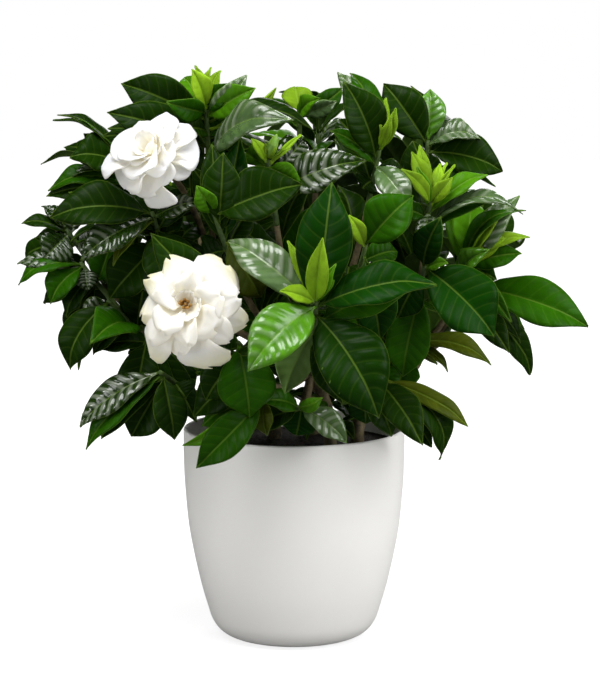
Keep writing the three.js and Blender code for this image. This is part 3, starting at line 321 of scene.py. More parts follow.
# Shoots of the sides, the back and the top, in rings round the plant's middle
PLANT_MIDDLE = [6, 4]
BACK_SPREAD = 1.1
OUTER_RINGS = [
    {"name": "low", "height": 222, "out": 104, "from": 30, "step": 40, "count": 4, "size": 0.92},
    {"name": "middle", "height": 282, "out": 122, "from": -4, "step": 44, "count": 5, "size": 1},
    {"name": "high", "height": 338, "out": 84, "from": 22, "step": 45, "count": 4, "size": 0.95},
    {"name": "top", "height": 366, "out": 26, "from": 60, "step": 0, "count": 1, "size": 0.9},
]
WHORLS = [[0.97, 52, 42], [0.7, 68, 64], [0.4, 74, 82]]
WHORL_LEAVES = 3
WHORL_SPREAD = {"turn": 0.5, "length": 0.28, "angle": 24}
RING_SPREAD = {"turn": 10, "out": 0.16, "height": 16}
LEAF_SLENDERNESS = 0.42
OUTER_ARCH = 0.13
OUTER_TONES = ["dark", "mid", "dark", "ribbed", "mid", "dark", "bright", "mid", "pale"]

# Draws that are the same on every run, and their seeds
DRAW_FACTOR = 48271
DRAW_RANGE = 2147483647
SHOOT_SEED = 11
PLANT_SEED = 2027
INNER_SEED = 409
CALYX_SEED = 97
BUD_SEED = 59

# What a leaf may have done to keep clear of its neighbours
DEPTH_SHIFTS = [0, -5, 5, -10, 10, -16, 16, -24, 24, -34, 34]
PITCH_SHIFTS = [0, 11, -11, 22, -22, 33]
SIZE_SHIFTS = [1, 0.8]
PETAL_SHIFTS = [0, 2, -2, 4, -4]

# How finely the space between leaves is kept, and the width below which a leaf needs no room
ROOM_CELL = 3.0
SMALL_WIDTH = 20

# The crown's lower side, a cone, the pot's opening, and how far leaves keep from pot and soil
CROWN_FOOT = 172
CROWN_WAIST = 55
INNER_RIM = 75
POT_CLEARANCE = 4
SOIL_CLEARANCE = 8

# Blooms: the heart in the front view, the axis, and petals from the innermost layer out. A layer is
# its share along the corolla, width, arch and petals. Each petal has its tip [across, down, reach],
# its breadth beside its layer's and where it is fullest.
BLOOMS = [
    ["bloom_upper", "left", [152, 152, -104], [-0.4, -0.72, 0.56], [
        [0.8, 16, 0.14, [
            [120, 158, 14, 1, 0.6], [140, 174, 18, 1.15, 0.6], [166, 168, 18, 0.8, 0.6],
            [176, 146, 8, 0.8, 0.6], [160, 126, 2, 0.9, 0.6], [134, 136, 6, 0.9, 0.6],
        ]],
        [0.4, 22, 0.16, [
            [101, 167, -6, 0.9, 0.65], [125, 188, 2, 1.1, 0.65], [156, 190, 10, 1.1, 0.65],
            [162, 208, -2, 0.8, 0.9], [190, 174, 0, 0.5, 0.6], [199, 150, -6, 0.85, 0.65],
            [189, 124, -14, 0.7, 0.65], [166, 112, -16, 0.65, 0.6], [139, 121, -14, 0.75, 0.7],
            [113, 141, -10, 0.9, 0.65],
        ]],
    ]],
    ["bloom_lower", "front", [187, 305, -146], [-0.16, -0.96, 0.22], [
        [0.9, 12, 0.1, [
            [184, 289, 22, 1.1, 0.6], [201, 302, 22, 1, 0.6], [194, 320, 24, 1, 0.6],
            [175, 314, 24, 1.2, 0.6],
        ]],
        [0.7, 18, 0.14, [
            [192, 274, 10, 0.8, 0.6], [218, 296, 10, 1.1, 0.75], [212, 328, 12, 1.1, 0.8],
            [186, 342, 14, 0.8, 0.6], [162, 328, 14, 1, 0.7], [162, 296, 12, 0.9, 0.6],
        ]],
        [0.3, 25, 0.16, [
            [172, 261, -4, 0.85, 0.6], [224, 266, -6, 1.15, 0.8], [244, 326, -4, 0.8, 0.7],
            [206, 367, -2, 1.05, 0.85], [148, 355, -2, 0.8, 0.75], [143, 312, 0, 0.8, 0.7],
            [152, 278, -2, 0.8, 0.6],
        ]],
    ]],
]

# More petals between the lower bloom's layers, in the same terms
EXTRA_PETALS = {
    "bloom_upper": [],
    "bloom_lower": [
        [0.5, 20, 0.16, [
            [177, 351, 6, 0.9, 0.7], [228, 341, 4, 0.9, 0.65], [236, 298, 4, 1, 0.7],
            [157, 290, 6, 0.9, 0.6], [207, 270, 4, 0.9, 0.6], [150, 338, 4, 0.9, 0.7],
        ]],
    ],
}
PETAL_ROLL = math.radians(16)
COROLLA = {"back": 14, "length": 12, "radii": [4.4, 6.4], "sides": 8}
CALYX = {"back": 28, "length": 13.6, "radii": [2.2, 4.6], "sides": 5}
CALYX_LOOK = [0.14, 0.28, 0.04, 0.4]
SEPAL = {"share": 0.55, "length": 15, "width": 3, "angle": 78, "arch": 0.1}
STAMENS = 9
STAMEN_LENGTHS = [6, 8]

# Petal form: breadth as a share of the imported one, how far the sides cup, the end curls back, its
# rim rolls back and its end is drawn to a point, and how creamy the petal's foot and tip are
PETAL_ROWS = 22
PETAL_COLUMNS = 16
# The upper bloom's white is darker than the lower's as painted shade; the lower bloom's creamier tint is
# its own colour
PETAL_WHITE = {
    "bloom_upper": np.array([0.75, 0.745, 0.72]),
    "bloom_lower": np.array([0.84, 0.81, 0.71]),
}
PETAL_CREAM = np.array([0.88, 0.80, 0.56])
PETAL_TIP = np.array([0.74, 0.66, 0.27])
PETAL_GLOSS = 0.3
PETAL_SCALLOP = 0.05
PETAL_NOTCH = 0.08
PETAL_POINT = 0.07
PETAL_WAVE = 0.06
PETAL_CREASE = 0.4
PETAL_RIPPLE = 0.2
PETAL_BEND = 0.1
PETAL_FORMS = {
    "bloom_upper": [
        {"breadth": 1.7, "cup": 0.5, "curl": 0.04, "roll": 0.08, "point": 0.0, "foot": 0.7, "tip": 0.0},
        {"breadth": 1.55, "cup": 0.3, "curl": 0.06, "roll": 0.16, "point": 0.0, "foot": 0.2, "tip": 0.0},
    ],
    "bloom_lower": [
        {"breadth": 1.35, "cup": 0.6, "curl": 0.06, "roll": 0.12, "point": 0.2, "foot": 0.9, "tip": 0.0},
        {"breadth": 1.3, "cup": 0.4, "curl": 0.14, "roll": 0.35, "point": 0.6, "foot": 0.8, "tip": 0.1},
        {"breadth": 1.25, "cup": 0.25, "curl": 0.22, "roll": 0.5, "point": 0.8, "foot": 0.5, "tip": 0.9},
    ],
}

# The furled petals of a bloom's heart: rings of count, length, width and lean
HEART_FORM = {
    "breadth": 1, "fullest": 0.6, "cup": 0.8, "curl": 0.05, "roll": 0.1, "point": 0.0,
    "foot": 1.0, "tip": 0.0,
}
HEART_ARCH = -0.12
HEART_PETALS = {
    "bloom_upper": [[3, 21, 20, 34], [3, 18, 14, 16]],
    "bloom_lower": [[5, 15, 15, 48]],
}

# Buds on a shoot's apex; the tip is [across, down, reach in front of the apex]. The outline is a
# bud's radius at shares of its length.
BUDS = [
    {"name": "bud_left", "shoot": "young_left", "tip": [277, 134, 4], "radius": 3.6},
    {"name": "bud_right", "shoot": "crown_right", "tip": [374, 106, 4], "radius": 4.6},
]
BUD_LIFT = 0.6
BUD_SIDES = 30
BUD_RINGS = 25
BUD_OUTLINE = [[0, 0.12, 0.3, 0.55, 0.8, 1], [0.3, 0.72, 0.96, 1, 0.62, 0.08]]
BUD_LOOK = [0.22, 0.42, 0.05, 0.4]
BUD_SEPALS = 5
BUD_SEPAL_WIDTH = 2.4

# Leaf tones: colour, gloss, which also sets how much painted sheen a leaf gets, and how far the blade
# bulges between its veins
TONES = {
    "dark": {"colour": [0.006, 0.022, 0.0004], "gloss": 0.25, "bulge": 0.6},
    "glossy": {"colour": [0.005, 0.024, 0.001], "gloss": 0.45, "bulge": 1.3},
    "deep": {"colour": [0.003, 0.028, 0.0006], "gloss": 0.2, "bulge": 0.6},
    "mid": {"colour": [0.015, 0.072, 0.0006], "gloss": 0.36, "bulge": 0.7},
    "bright": {"colour": [0.055, 0.180, 0.003], "gloss": 0.42, "bulge": 0.7},
    "veined": {"colour": [0.075, 0.240, 0.008], "gloss": 0.74, "bulge": 1.1},
    "lime": {"colour": [0.220, 0.400, 0.014], "gloss": 0.3, "bulge": 0.3},
    # The pale tone's light grey-green colour is painted sheen: it stands in for a glossy leaf's broad
    # grey-white highlight
    "pale": {"colour": [0.075, 0.135, 0.045], "gloss": 1.0, "bulge": 0.9},
    "ribbed": {"colour": [0.009, 0.030, 0.001], "gloss": 0.95, "bulge": 1.5},
    "olive": {"colour": [0.050, 0.068, 0.003], "gloss": 0.3, "bulge": 0.5},
}
GLOSSY_FROM = 0.6
LIGHTNESS_SPREAD = 0.5

# Leaf form: its pairs of side veins and the rows of points between two veins, how far the veins lean
# forward, the midrib's groove, the petiole's half width, and how the rim waves and curls back
FINE = 4
COARSE = 3
SLIM_WIDTH = 14
LONG_LEAF = 55
VEIN_PAIRS = {"slim": 6, "short": 7, "long": 9}
LEAF_COLUMNS = {"slim": 8, "short": 12, "long": 12}
VEIN_SKEW = 0.15
BROAD_WIDTH = 22
FULLNESS = {"narrow": 0.66, "broad": 0.75}
LEAF_FOLD = math.radians(13)
LEAF_FOLDS = [1.0, 2.2]
LEAF_THICKNESS = [0.75, 0.4]
PETIOLE = 1.0
PETIOLE_THICKNESS = 1.6
FULL_BULGE_WIDTH = 26
MIDRIB_DEPTH = 0.5
MIDRIB_WIDTH = 1.0
WAVE = 0.05
NODS = [0.02, 0.09]
RECURVE = 0.16
LEAF_BEND = 0.06
LEAF_TWIST = 0.5
PETIOLE_SHARE = 0.06
CLEAR_OF_STALK = 0.25

# What the materials read at each point: how many millimetres a unit across the veins is, and the
# distance from an edge that points have where there is no blade
VEIN_UNIT = 10.0
FAR_FROM_EDGE = 9.0

# Inner leaves: how far from its branch a leaf starts, its form, and how far its face is lifted
INNER_OUT = 1.5
INNER_ARCH = 0.12
INNER_LIFT = 0.6
INNER_SLENDERNESS = 0.44

# Colours of the materials
SIDE_VEINS = 0.17
LEAF_SHADE = [0.006, 0.020, 0.001, 1]
VEIN_COLOUR = [0.20, 0.33, 0.04, 1]
LEAF_UNDERSIDE = [0.060, 0.110, 0.020, 1]
# Painted highlight: the pale grey-green that is mixed into glossy leaves between their veins as painted
# sheen
LEAF_PAINTED_SHEEN = [0.36, 0.40, 0.30, 1]
PETAL_STREAK = [0.72, 0.70, 0.60, 1]
PETAL_PATCH = [0.78, 0.76, 0.66, 1]
CALYX_GREEN = [0.10, 0.22, 0.02, 1]

# Grained materials: the noises of the patches and of the finer grain, the colours over a range of the
# patches, the roughness over a range of the grain, each noise's share of the relief, and how deep
# and how strong the relief is
STEM_GRAIN = {
    "range": [0.35, 0.65], "roughness": [0.3, 0.7, 0.55, 0.8], "relief": [1, 0.4], "bump": [0.0006, 0.7],
}
GRAINS = {
    "bark": {
        **STEM_GRAIN, "patches": [180.0, 5.0, 0.65], "fine": [1080.0],
        "colours": [[0.16, 0.125, 0.055, 1], [0.055, 0.045, 0.02, 1]],
    },
    "twig": {
        **STEM_GRAIN, "patches": [160.0, 5.0, 0.65], "fine": [960.0],
        "colours": [[0.075, 0.13, 0.022, 1], [0.035, 0.07, 0.012, 1]],
    },
    "stamen": {
        "patches": [1500.0, 2.0], "fine": [1500.0, 2.0], "range": [0.3, 0.7],
        "colours": [[0.20, 0.09, 0.012, 1], [0.50, 0.27, 0.05, 1]],
        "roughness": [0.2, 0.8, 0.6, 0.8], "relief": [1, 0], "bump": [0.0004, 0.8],
    },
    "pot": {
        "patches": [9.0, 2.0], "fine": [1800.0, 2.0], "range": [0.3, 0.7],
        "colours": [[0.79, 0.78, 0.755, 1], [0.77, 0.76, 0.735, 1]],
        "roughness": [0.3, 0.7, 0.48, 0.58], "relief": [0, 1], "bump": [0.00008, 0.5],
    },
    "soil": {
        "patches": [260.0, 6.0, 0.7], "fine": [900.0, 4.0, 0.7], "range": [0.35, 0.7],
        "colours": [[0.008, 0.005, 0.003, 1], [0.045, 0.026, 0.015, 1]],
        "roughness": [0.2, 0.8, 0.8, 0.95], "relief": [1, 1], "bump": [0.002, 0.9],
    },
}

# Floor and lamps
FLOOR_RADIUS = 6
FLOOR_SIDES = 96
FLOOR_GAP = 0.0004
FLOOR_GREYS = [[0.29, 0.29, 0.29, 1], [0.31, 0.31, 0.31, 1]]
FLOOR_GLOW = [0, 0.82]
WHITE = [1, 1, 1, 1]
WORLD_LIGHT = 0.02
AREA_LAMPS = [
    ["key", [1.8, -0.9, 1.0], [0, 0, 0.25], 1.9, 36],
    ["crown", [-0.5, -0.7, 1.7], [0, 0, 0.3], 1.1, 25],
    ["fill", [-1.4, -1.3, 0.5], [0, 0, 0.2], 0.9, 8],
    ["back", [0.5, 1.9, 1.2], [0, 0, 0.25], 1.2, 16],
]
POT_LAMPS = [["pot right", [1.5, -0.8, 0.04], 55], ["pot left", [-1.5, -0.8, 0.04], 54]]
POT_LAMP_TARGET = [0, 0, 0.045]
POT_BEAM = {"shadow_soft_size": 0.15, "spot_size": math.radians(8.5), "spot_blend": 0.5}
SKY_FROM = [0.2, -0.25, 1]
SKY_SPREAD = math.radians(55)
SKY_STRENGTH = 2.75


def unit(vector):
    return vector / np.linalg.norm(vector)


def turned_about(vector, axis, angle):
    """A vector turned about a unit axis, right-handed."""
    across = np.cross(axis, vector)
    return (
        vector * math.cos(angle)
        + across * math.sin(angle)
        + axis * np.dot(axis, vector) * (1 - math.cos(angle))
    )


def angle_between(a, b):
    return math.acos(max(-1, min(1, np.dot(unit(a), unit(b)))))


def smooth_step(low, high, value):
    share = np.clip((value - low) / (high - low), 0, 1)
    return share * share * (3 - 2 * share)


def between(ends, share):
    return ends[0] + (ends[1] - ends[0]) * share


def mixed(a, b, share):
    """Colours between two others, by a grid of shares from 0 to 1."""
    share = np.clip(share, 0, 1)[..., None]
    return a * (1 - share) + b * share


def place(across, down, depth):
    """A point of the front view, at a depth behind the pot's axis."""
    right = (across - SHEET_MIDDLE[0]) / SHEET_REACH
    below = (down - SHEET_MIDDLE[1]) / SHEET_REACH
    ray = np.array([
        right,
        math.cos(LOOK_DOWN) - below * math.sin(LOOK_DOWN),
        -math.sin(LOOK_DOWN) - below * math.cos(LOOK_DOWN),
    ])
    return EYE + ray * ((depth - EYE[1]) / ray[1])


class Draw:
    """Shares from 0 to 1 that are the same on every run."""

    def __init__(self, seed):
        self.state = seed

    def __call__(self):
        self.state = self.state * DRAW_FACTOR % DRAW_RANGE
        return self.state / DRAW_RANGE

    def spread(self, width):
        return width * (self() - 0.5)


def square_to(along, near=None):
    """Two directions square to a third, the first of them near a given one."""
    if near is None:
        near = np.array([1.0, 0, 0]) if abs(along[2]) > 0.9 else np.array([0, 0, 1.0])
    across = unit(near - along * np.dot(near, along))
    return across, np.cross(along, across)


def leaning(along, out, angle):
    """A direction that leans from one direction towards another by an angle."""
    return along * math.cos(angle) + out * math.sin(angle)


class Stalk:
    """A straight stalk whose sides can carry the seats of leaves or petals."""

    def __init__(self, start, along, length, radii, sides, is_open_ended=False):
        self.start = start
        self.along = along
        self.length = length
        self.radii = radii
        self.sides = sides
        self.is_open_ended = is_open_ended
        self.frame = square_to(along)

    def point(self, height):
        return self.start + self.along * height

    def ring(self, height):
        across, over = self.frame
        radius = self.radii[0] + (self.radii[1] - self.radii[0]) * height / self.length
        angles = [-math.pi / self.sides + TURN * side / self.sides for side in range(self.sides)]
        return [self.point(height) + radius * leaning(across, over, angle) for angle in angles]

    def nearest_side(self, direction):
        across, over = self.frame
        turn = math.atan2(np.dot(direction, over), np.dot(direction, across))
        return math.floor(turn / TURN * self.sides + 0.5) % self.sides


def seat_leaves(stalk, leaves):
    """Gives each leaf the root that its seat has on the stalk."""
    crest = None
    if stalk.is_open_ended:
        near = [leaf for leaf in leaves if angle_between(leaf["direction"], stalk.along) < CREST_ANGLE]
        crest = near[0] if near else None
    if crest:
        crest["root"] = stalk.point(stalk.length)
    bands = []
    ceiling = stalk.length - 2 * SEAT_HEIGHT
    for leaf in leaves:
        if leaf is crest:
            continue
        side = stalk.nearest_side(leaf["direction"])
        if bands and bands[-1]["share"] == leaf["share"] and side not in bands[-1]["sides"]:
            bands[-1]["sides"].append(side)
        else:
            low = min(leaf["share"] * stalk.length, ceiling)
            bands.append({"share": leaf["share"], "low": low, "sides": [side]})
            ceiling = low - SEAT_HEIGHT
        low = bands[-1]["low"]
        near, far = stalk.ring(low), stalk.ring(low + SEAT_HEIGHT)
        following = (side + 1) % stalk.sides
        leaf["root"] = (far[following] + far[side] + near[side] + near[following]) / 4


def blade_of(leaf, tip, face, width):
    """The lines that a blade is built on: its ends, directions, length and width."""
    chord = tip - leaf["root"]
    along = unit(chord)
    up = unit(face - along * np.dot(face, along))
    return {
        "root": leaf["root"],
        "tip": tip,
        "along": along,
        "up": up,
        "side": np.cross(along, up),
        "length": np.linalg.norm(chord),
        "width": width,
        "arch": leaf["arch"],
        "tone": leaf.get("tone"),
    }


def front_choices(leaf):
    across, down, depth = leaf["tip"]
    for shift in DEPTH_SHIFTS:
        tip = place(across, down, depth - shift)
        along = unit(tip - leaf["root"])
        face = unit(EYE - tip) + np.array([0, 0, FACE_LIFT])
        face = face - along * np.dot(face, along)
        face = turned_about(face, along, math.radians(leaf["roll"]))
        yield blade_of(leaf, tip, face, FRONT_BREADTH * leaf["width"])


def outer_choices(leaf):
    for size in SIZE_SHIFTS:
        for shift in PITCH_SHIFTS:
            lean = math.radians(leaf["angle"] + shift)
            tip = leaf["root"] + leaf["long"] * size * leaning(leaf["along"], leaf["direction"], lean)
            yield blade_of(leaf, tip, leaf["along"], leaf["width"] * size)


def petal_choices(leaf):
    across, down, depth = leaf["tip"]
    for shift in PETAL_SHIFTS:
        tip = place(across, down, depth - shift)
        along = unit(tip - leaf["root"])
        face = leaf["along"] - along * np.dot(leaf["along"], along)
        yield blade_of(leaf, tip, turned_about(face, along, PETAL_ROLL), leaf["width"])


def sepal_choices(leaf):
    reach = leaning(leaf["along"], leaf["direction"], math.radians(SEPAL["angle"]))
    yield blade_of(leaf, leaf["root"] + SEPAL["length"] * reach, leaf["along"], SEPAL["width"])


def corners_of(node):
    """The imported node's vertices, in a tree that is searched for the blades' tips."""
    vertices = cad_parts[node].data.vertices
    tree = kdtree.KDTree(len(vertices))
    for index, vertex in enumerate(vertices):
        tree.insert(vertex.co / MM, index)
    tree.balance()
    return tree


def chosen(node, leaves, choices):
    """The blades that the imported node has: each leaf's first choice whose tip is a pair of its corners.

    The leaves that it doesn't have come second.
    """
    tree = corners_of(node)
    blades, left_over = [], []
    for leaf in leaves:
        for blade in choices(leaf):
            lift = unit(blade["up"] + blade["along"] * 4 * blade["arch"]) * BLADE_THICKNESS / 2
            ends = [blade["tip"] + lift, blade["tip"] - lift]
            if all(tree.find(Vector(end))[2] < FOUND_WITHIN for end in ends):
                blades.append(blade)
                break
        else:
            left_over.append(leaf)
    return blades, left_over


def twig_to(stem, apex, length, is_open_ended):
    fork = np.array(WOODY_STEMS[stem]["fork"], dtype=float)
    along = unit(unit(apex - fork) + np.array([0, 0, SHOOT_LIFT]))
    return Stalk(apex - along * length, along, length, SHOOT_RADII, SHOOT_SIDES, is_open_ended)


def front_leaves(rows, twig, depth):
    """The leaves that a front shoot's rows describe, on its twig, whose apex has the given depth."""
    leaves = []
    for share, across, down, reach, width, tone, *more in rows:
        roll, arch = more or USUAL_ROLL_AND_ARCH
        tip = [across, down, depth - reach]
        leaves.append({
            "share": share,
            "direction": place(*tip) - twig.point(share * twig.length),
            "tip": tip,
            "width": width,
            "roll": roll,
            "arch": arch,
            "tone": tone,
        })
    return leaves


def front_shoots():
    carriers = [bud["shoot"] for bud in BUDS]
    for name, stem, apex, packed, extra in FRONT_SHOOTS:
        length = SHORT_SHOOTS.get(name, SHOOT_LENGTH)
        twig = twig_to(stem, place(*apex), length, name not in carriers)
        yield {
            "name": f"shoot_{name}",
            "stem": stem,
            "twig": twig,
            "leaves": front_leaves(packed, twig, apex[2]),
            "extra": front_leaves(extra, twig, apex[2]),
            "choices": front_choices,
            "depth": apex[2],
        }


def nearest_stem(point):
    sideways = point[0] - PLANT_MIDDLE[0]
    if abs(sideways) < BACK_SPREAD * point[1]:
        return "back"
    return "right" if sideways > 0 else "left"


def outer_leaves(draw, size, along):
    flat = unit(np.cross([0, 0, 1], along))
    for whorl, (share, length, angle) in enumerate(WHORLS):
        for number in range(WHORL_LEAVES):
            even = (number + whorl / 2) / WHORL_LEAVES * TURN
            turn = even + draw.spread(WHORL_SPREAD["turn"])
            long = length * size * (1 + draw.spread(WHORL_SPREAD["length"]))
            lean = angle + draw.spread(WHORL_SPREAD["angle"])
            yield {
                "share": share,
                "direction": turned_about(flat, along, turn),
                "along": along,
                "long": long,
                "angle": lean,
                "width": long * LEAF_SLENDERNESS,
                "arch": OUTER_ARCH,
            }


def outer_apex(ring, number, draw):
    turn = math.radians(ring["from"] + ring["step"] * number + draw.spread(RING_SPREAD["turn"]))
    out = ring["out"] * (1 + draw.spread(RING_SPREAD["out"]))
    height = ring["height"] + draw.spread(RING_SPREAD["height"])
    return np.array([
        PLANT_MIDDLE[0] + out * math.cos(turn),
        PLANT_MIDDLE[1] + out * math.sin(turn),
        height,
    ])


def outer_shoots():
    draw = Draw(SHOOT_SEED)
    for ring in OUTER_RINGS:
        for number in range(ring["count"]):
            apex = outer_apex(ring, number, draw)
            stem = nearest_stem(apex)
            twig = twig_to(stem, apex, SHOOT_LENGTH, True)
            leaves = list(outer_leaves(draw, ring["size"], twig.along))
            for step, leaf in enumerate(leaves):
                leaf["tone"] = OUTER_TONES[(step + 2 * number) % len(OUTER_TONES)]
            yield {
                "name": f"shoot_back_{ring['name']}_{number + 1}",
                "stem": stem,
                "twig": twig,
                "leaves": leaves,
                "extra": [],
                "choices": outer_choices,
            }


class Room:
    """The space that leaves already take, in small cells, so that more can be fitted between them."""

    def __init__(self):
        self.cells = set()

    def cells_of(self, points):
        return set(map(tuple, np.floor(points / ROOM_CELL).astype(int).tolist()))

    def take(self, points):
        for x, y, z in self.cells_of(points):
            for step in (-1, 0, 1):
                self.cells.update([(x + step, y, z), (x, y + step, z), (x, y, z + step)])

    def is_free(self, points):
        return self.cells.isdisjoint(self.cells_of(points))


class Piece:
    """A mesh in the making: points, faces, and what the materials read at each point."""

    def __init__(self, name):
        self.name = name
        self.materials = []
        self.points = []
        self.count = 0
        self.faces = []
        self.slots = []
        self.veins = []
        self.looks = []
        self.edges = []

    def slot_of(self, material):
        if material not in self.materials:
            self.materials.append(material)
        return self.materials.index(material)

    def add_faces(self, faces, material):
        self.faces.extend(faces)
        self.slots.extend([self.slot_of(material)] * len(faces))

    def add(self, points, faces, material, veins=None, look=None, edge=None):
        total = len(points)
        self.points.append(points)
        self.add_faces([[corner + self.count for corner in face] for face in faces], material)
        self.veins.append(np.zeros((total, 2)) if veins is None else veins)
        self.looks.append(np.zeros((total, 4)) if look is None else look)
        self.edges.append(np.full(total, FAR_FROM_EDGE) if edge is None else edge)
        self.count += total

    def finish(self, slot, *nodes):
        points = np.concatenate(self.points) * MM
        mesh = bpy.data.meshes.new(self.name)
        mesh.from_pydata(points.tolist(), [], self.faces)
        for material in self.materials:
            mesh.materials.append(material)
        mesh.polygons.foreach_set("material_index", self.slots)
        mesh.polygons.foreach_set("use_smooth", [True] * len(mesh.polygons))
        corners = np.empty(len(mesh.loops), dtype=np.int32)
        mesh.loops.foreach_get("vertex_index", corners)
        veins = mesh.uv_layers.new(name="veins")
        veins.uv.foreach_set("vector", np.concatenate(self.veins)[corners].ravel())
        look = mesh.color_attributes.new("look", "FLOAT_COLOR", "POINT")
        look.data.foreach_set("color", np.concatenate(self.looks).ravel())
        edge = mesh.attributes.new("edge", "FLOAT", "POINT")
        edge.data.foreach_set("value", np.concatenate(self.edges))
        mesh.update()
        piece = added(self.name, mesh)
        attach(piece, "root")
        if nodes:
            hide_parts(*nodes)


def added(name, data):
    """A new object in the scene."""
    thing = bpy.data.objects.new(name, data)
    bpy.context.scene.collection.objects.link(thing)
    return thing


def grid_faces(rows, columns, offset=0, flip=False):
    """Quads over a grid of points, row by row."""
    faces = []
    for row in range(rows - 1):
        for column in range(columns - 1):
            a = offset + row * columns + column
            face = [a, a + 1, a + columns + 1, a + columns]
            faces.append(face[::-1] if flip else face)
    return faces


def ring_faces(rings, sides):
    """Quads between rings of points, one ring after another."""
    faces = []
    for ring in range(rings - 1):
        for side in range(sides):
            following = (side + 1) % sides
            a, b = ring * sides + side, ring * sides + following
            faces.append([a, b, b + sides, a + sides])
    return faces


def add_sheet(piece, sheet, thickness, top, under, veins, look, edge):
    """A thin closed sheet: a grid of points, its copy underneath, and walls round the edge."""
    rows, columns = sheet.shape[:2]
    normal = np.cross(np.gradient(sheet, axis=1), np.gradient(sheet, axis=0))
    normal /= np.maximum(np.linalg.norm(normal, axis=2, keepdims=True), 1e-9)
    half = normal * thickness[..., None] / 2
    points = np.concatenate([(sheet + half).reshape(-1, 3), (sheet - half).reshape(-1, 3)])
    total = rows * columns
    veins, look = [np.concatenate([values.reshape(total, -1)] * 2) for values in (veins, look)]
    rim = list(range(columns))
    rim += [row * columns + columns - 1 for row in range(1, rows)]
    rim += [(rows - 1) * columns + column for column in range(columns - 2, -1, -1)]
    rim += [row * columns for row in range(rows - 2, 0, -1)]
    walls = [[a + total, b + total, b, a] for a, b in zip(rim, rim[1:] + rim[:1])]
    first = piece.count
    piece.add(
        points, grid_faces(rows, columns) + walls, top, veins, look, np.concatenate([edge.ravel()] * 2)
    )
    piece.add_faces(grid_faces(rows, columns, first + total, True), under)


def circle(across, over, sides):
    """Points round a circle of radius 1."""
    angles = np.arange(sides) / sides * TURN
    return np.cos(angles)[:, None] * across + np.sin(angles)[:, None] * over


def add_rings(piece, rings, material, look=None):
    """A tube of rings of points, closed at both ends."""
    sides = len(rings[0])
    last = (len(rings) - 1) * sides
    faces = ring_faces(len(rings), sides)
    faces.append(list(range(sides))[::-1])
    faces.append([last + side for side in range(sides)])
    points = np.concatenate(rings)
    piece.add(points, faces, material, look=None if look is None else np.tile(look, (len(points), 1)))


def add_tube(piece, points, radii, material, sides, look=None):
    """A tube along a line of points."""
    points = np.array(points, dtype=float)
    alongs = np.gradient(points, axis=0)
    across, _ = square_to(unit(alongs[0]))
    rings = []
    for point, along, radius in zip(points, alongs, radii):
        across, over = square_to(unit(along), across)
        rings.append(point + radius * circle(across, over, sides))
    add_rings(piece, rings, material, look)


def add_turned(piece, profile, turns, material, displace=None):
    """A closed profile from axis to axis turned round Z."""
    profile = np.array(profile, dtype=float)
    inner = profile[1:-1]
    angles = np.arange(turns) / turns * TURN
    rings = np.stack([
        inner[:, None, 0] * np.cos(angles),
        inner[:, None, 0] * np.sin(angles),
        inner[:, None, 1] + 0 * angles,
    ], axis=2)
    points = np.concatenate([rings.reshape(-1, 3), [[0, 0, profile[0, 1]], [0, 0, profile[-1, 1]]]])
    if displace:
        points = displace(points)
    faces = ring_faces(len(inner), turns)
    last, low = (len(inner) - 1) * turns, len(inner) * turns
    for side in range(turns):
        following = (side + 1) % turns
        faces.append([low, following, side])
        faces.append([low + 1, last + side, last + following])
    piece.add(points, faces, material)


def spread_out(blade, along, sideways, height):
    """Points at distances along, beside and above a blade's lines."""
    return (
        blade["root"]
        + blade["along"] * along[..., None]
        + blade["side"] * sideways[..., None]
        + blade["up"] * height[..., None]
    )


def arching(blade, share):
    return 4 * blade["arch"] * blade["length"] * share * (1 - share)


def leaf_grid(length, width, rows):
    """Shares along and across a leaf at its rows and columns of points, and its pairs of veins."""
    size = "slim" if width < SLIM_WIDTH else "long" if length > LONG_LEAF else "short"
    pairs = VEIN_PAIRS[size]
    step = np.linspace(0, 1, pairs * rows + 1)[:, None]
    hand = np.linspace(-1, 1, LEAF_COLUMNS[size] + 1)[None, :]
    return step, np.sign(hand) * np.abs(hand) ** 1.15, pairs


def leaf_half_width(share, width):
    """Half a leaf's width, from its petiole to its drawn-out tip."""
    fullness = FULLNESS["broad" if width > BROAD_WIDTH else "narrow"]
    body = np.sin(np.pi * np.clip(share, 0, 1) ** 1.125) ** fullness
    drawn = 1 - 0.5 * (np.clip(share - 0.66, 0, 1) / 0.34) ** 2
    half = np.maximum(body * drawn * smooth_step(0.02, 0.16, share) * width / 2, PETIOLE)
    return np.where(share > 0.98, half * (1 - share) / 0.02 * 0.8 + 0.12, half)


def leaf_relief(blade, share, reach, half, phase):
    """The quilting between a leaf's side veins, and its midrib's groove."""
    bulge = TONES[blade["tone"]]["bulge"] * min(1, blade["width"] / FULL_BULGE_WIDTH)
    across = smooth_step(0.03, 0.3, reach) * (1 - smooth_step(0.78, 1, reach))
    along = smooth_step(0.08, 0.2, share) * (1 - smooth_step(0.9, 1, share))
    groove = MIDRIB_DEPTH * np.exp(-((reach * half / MIDRIB_WIDTH) ** 2)) * smooth_step(0, 0.1, share)
    return bulge * np.sin(np.pi * phase) ** 0.8 * across * along - groove


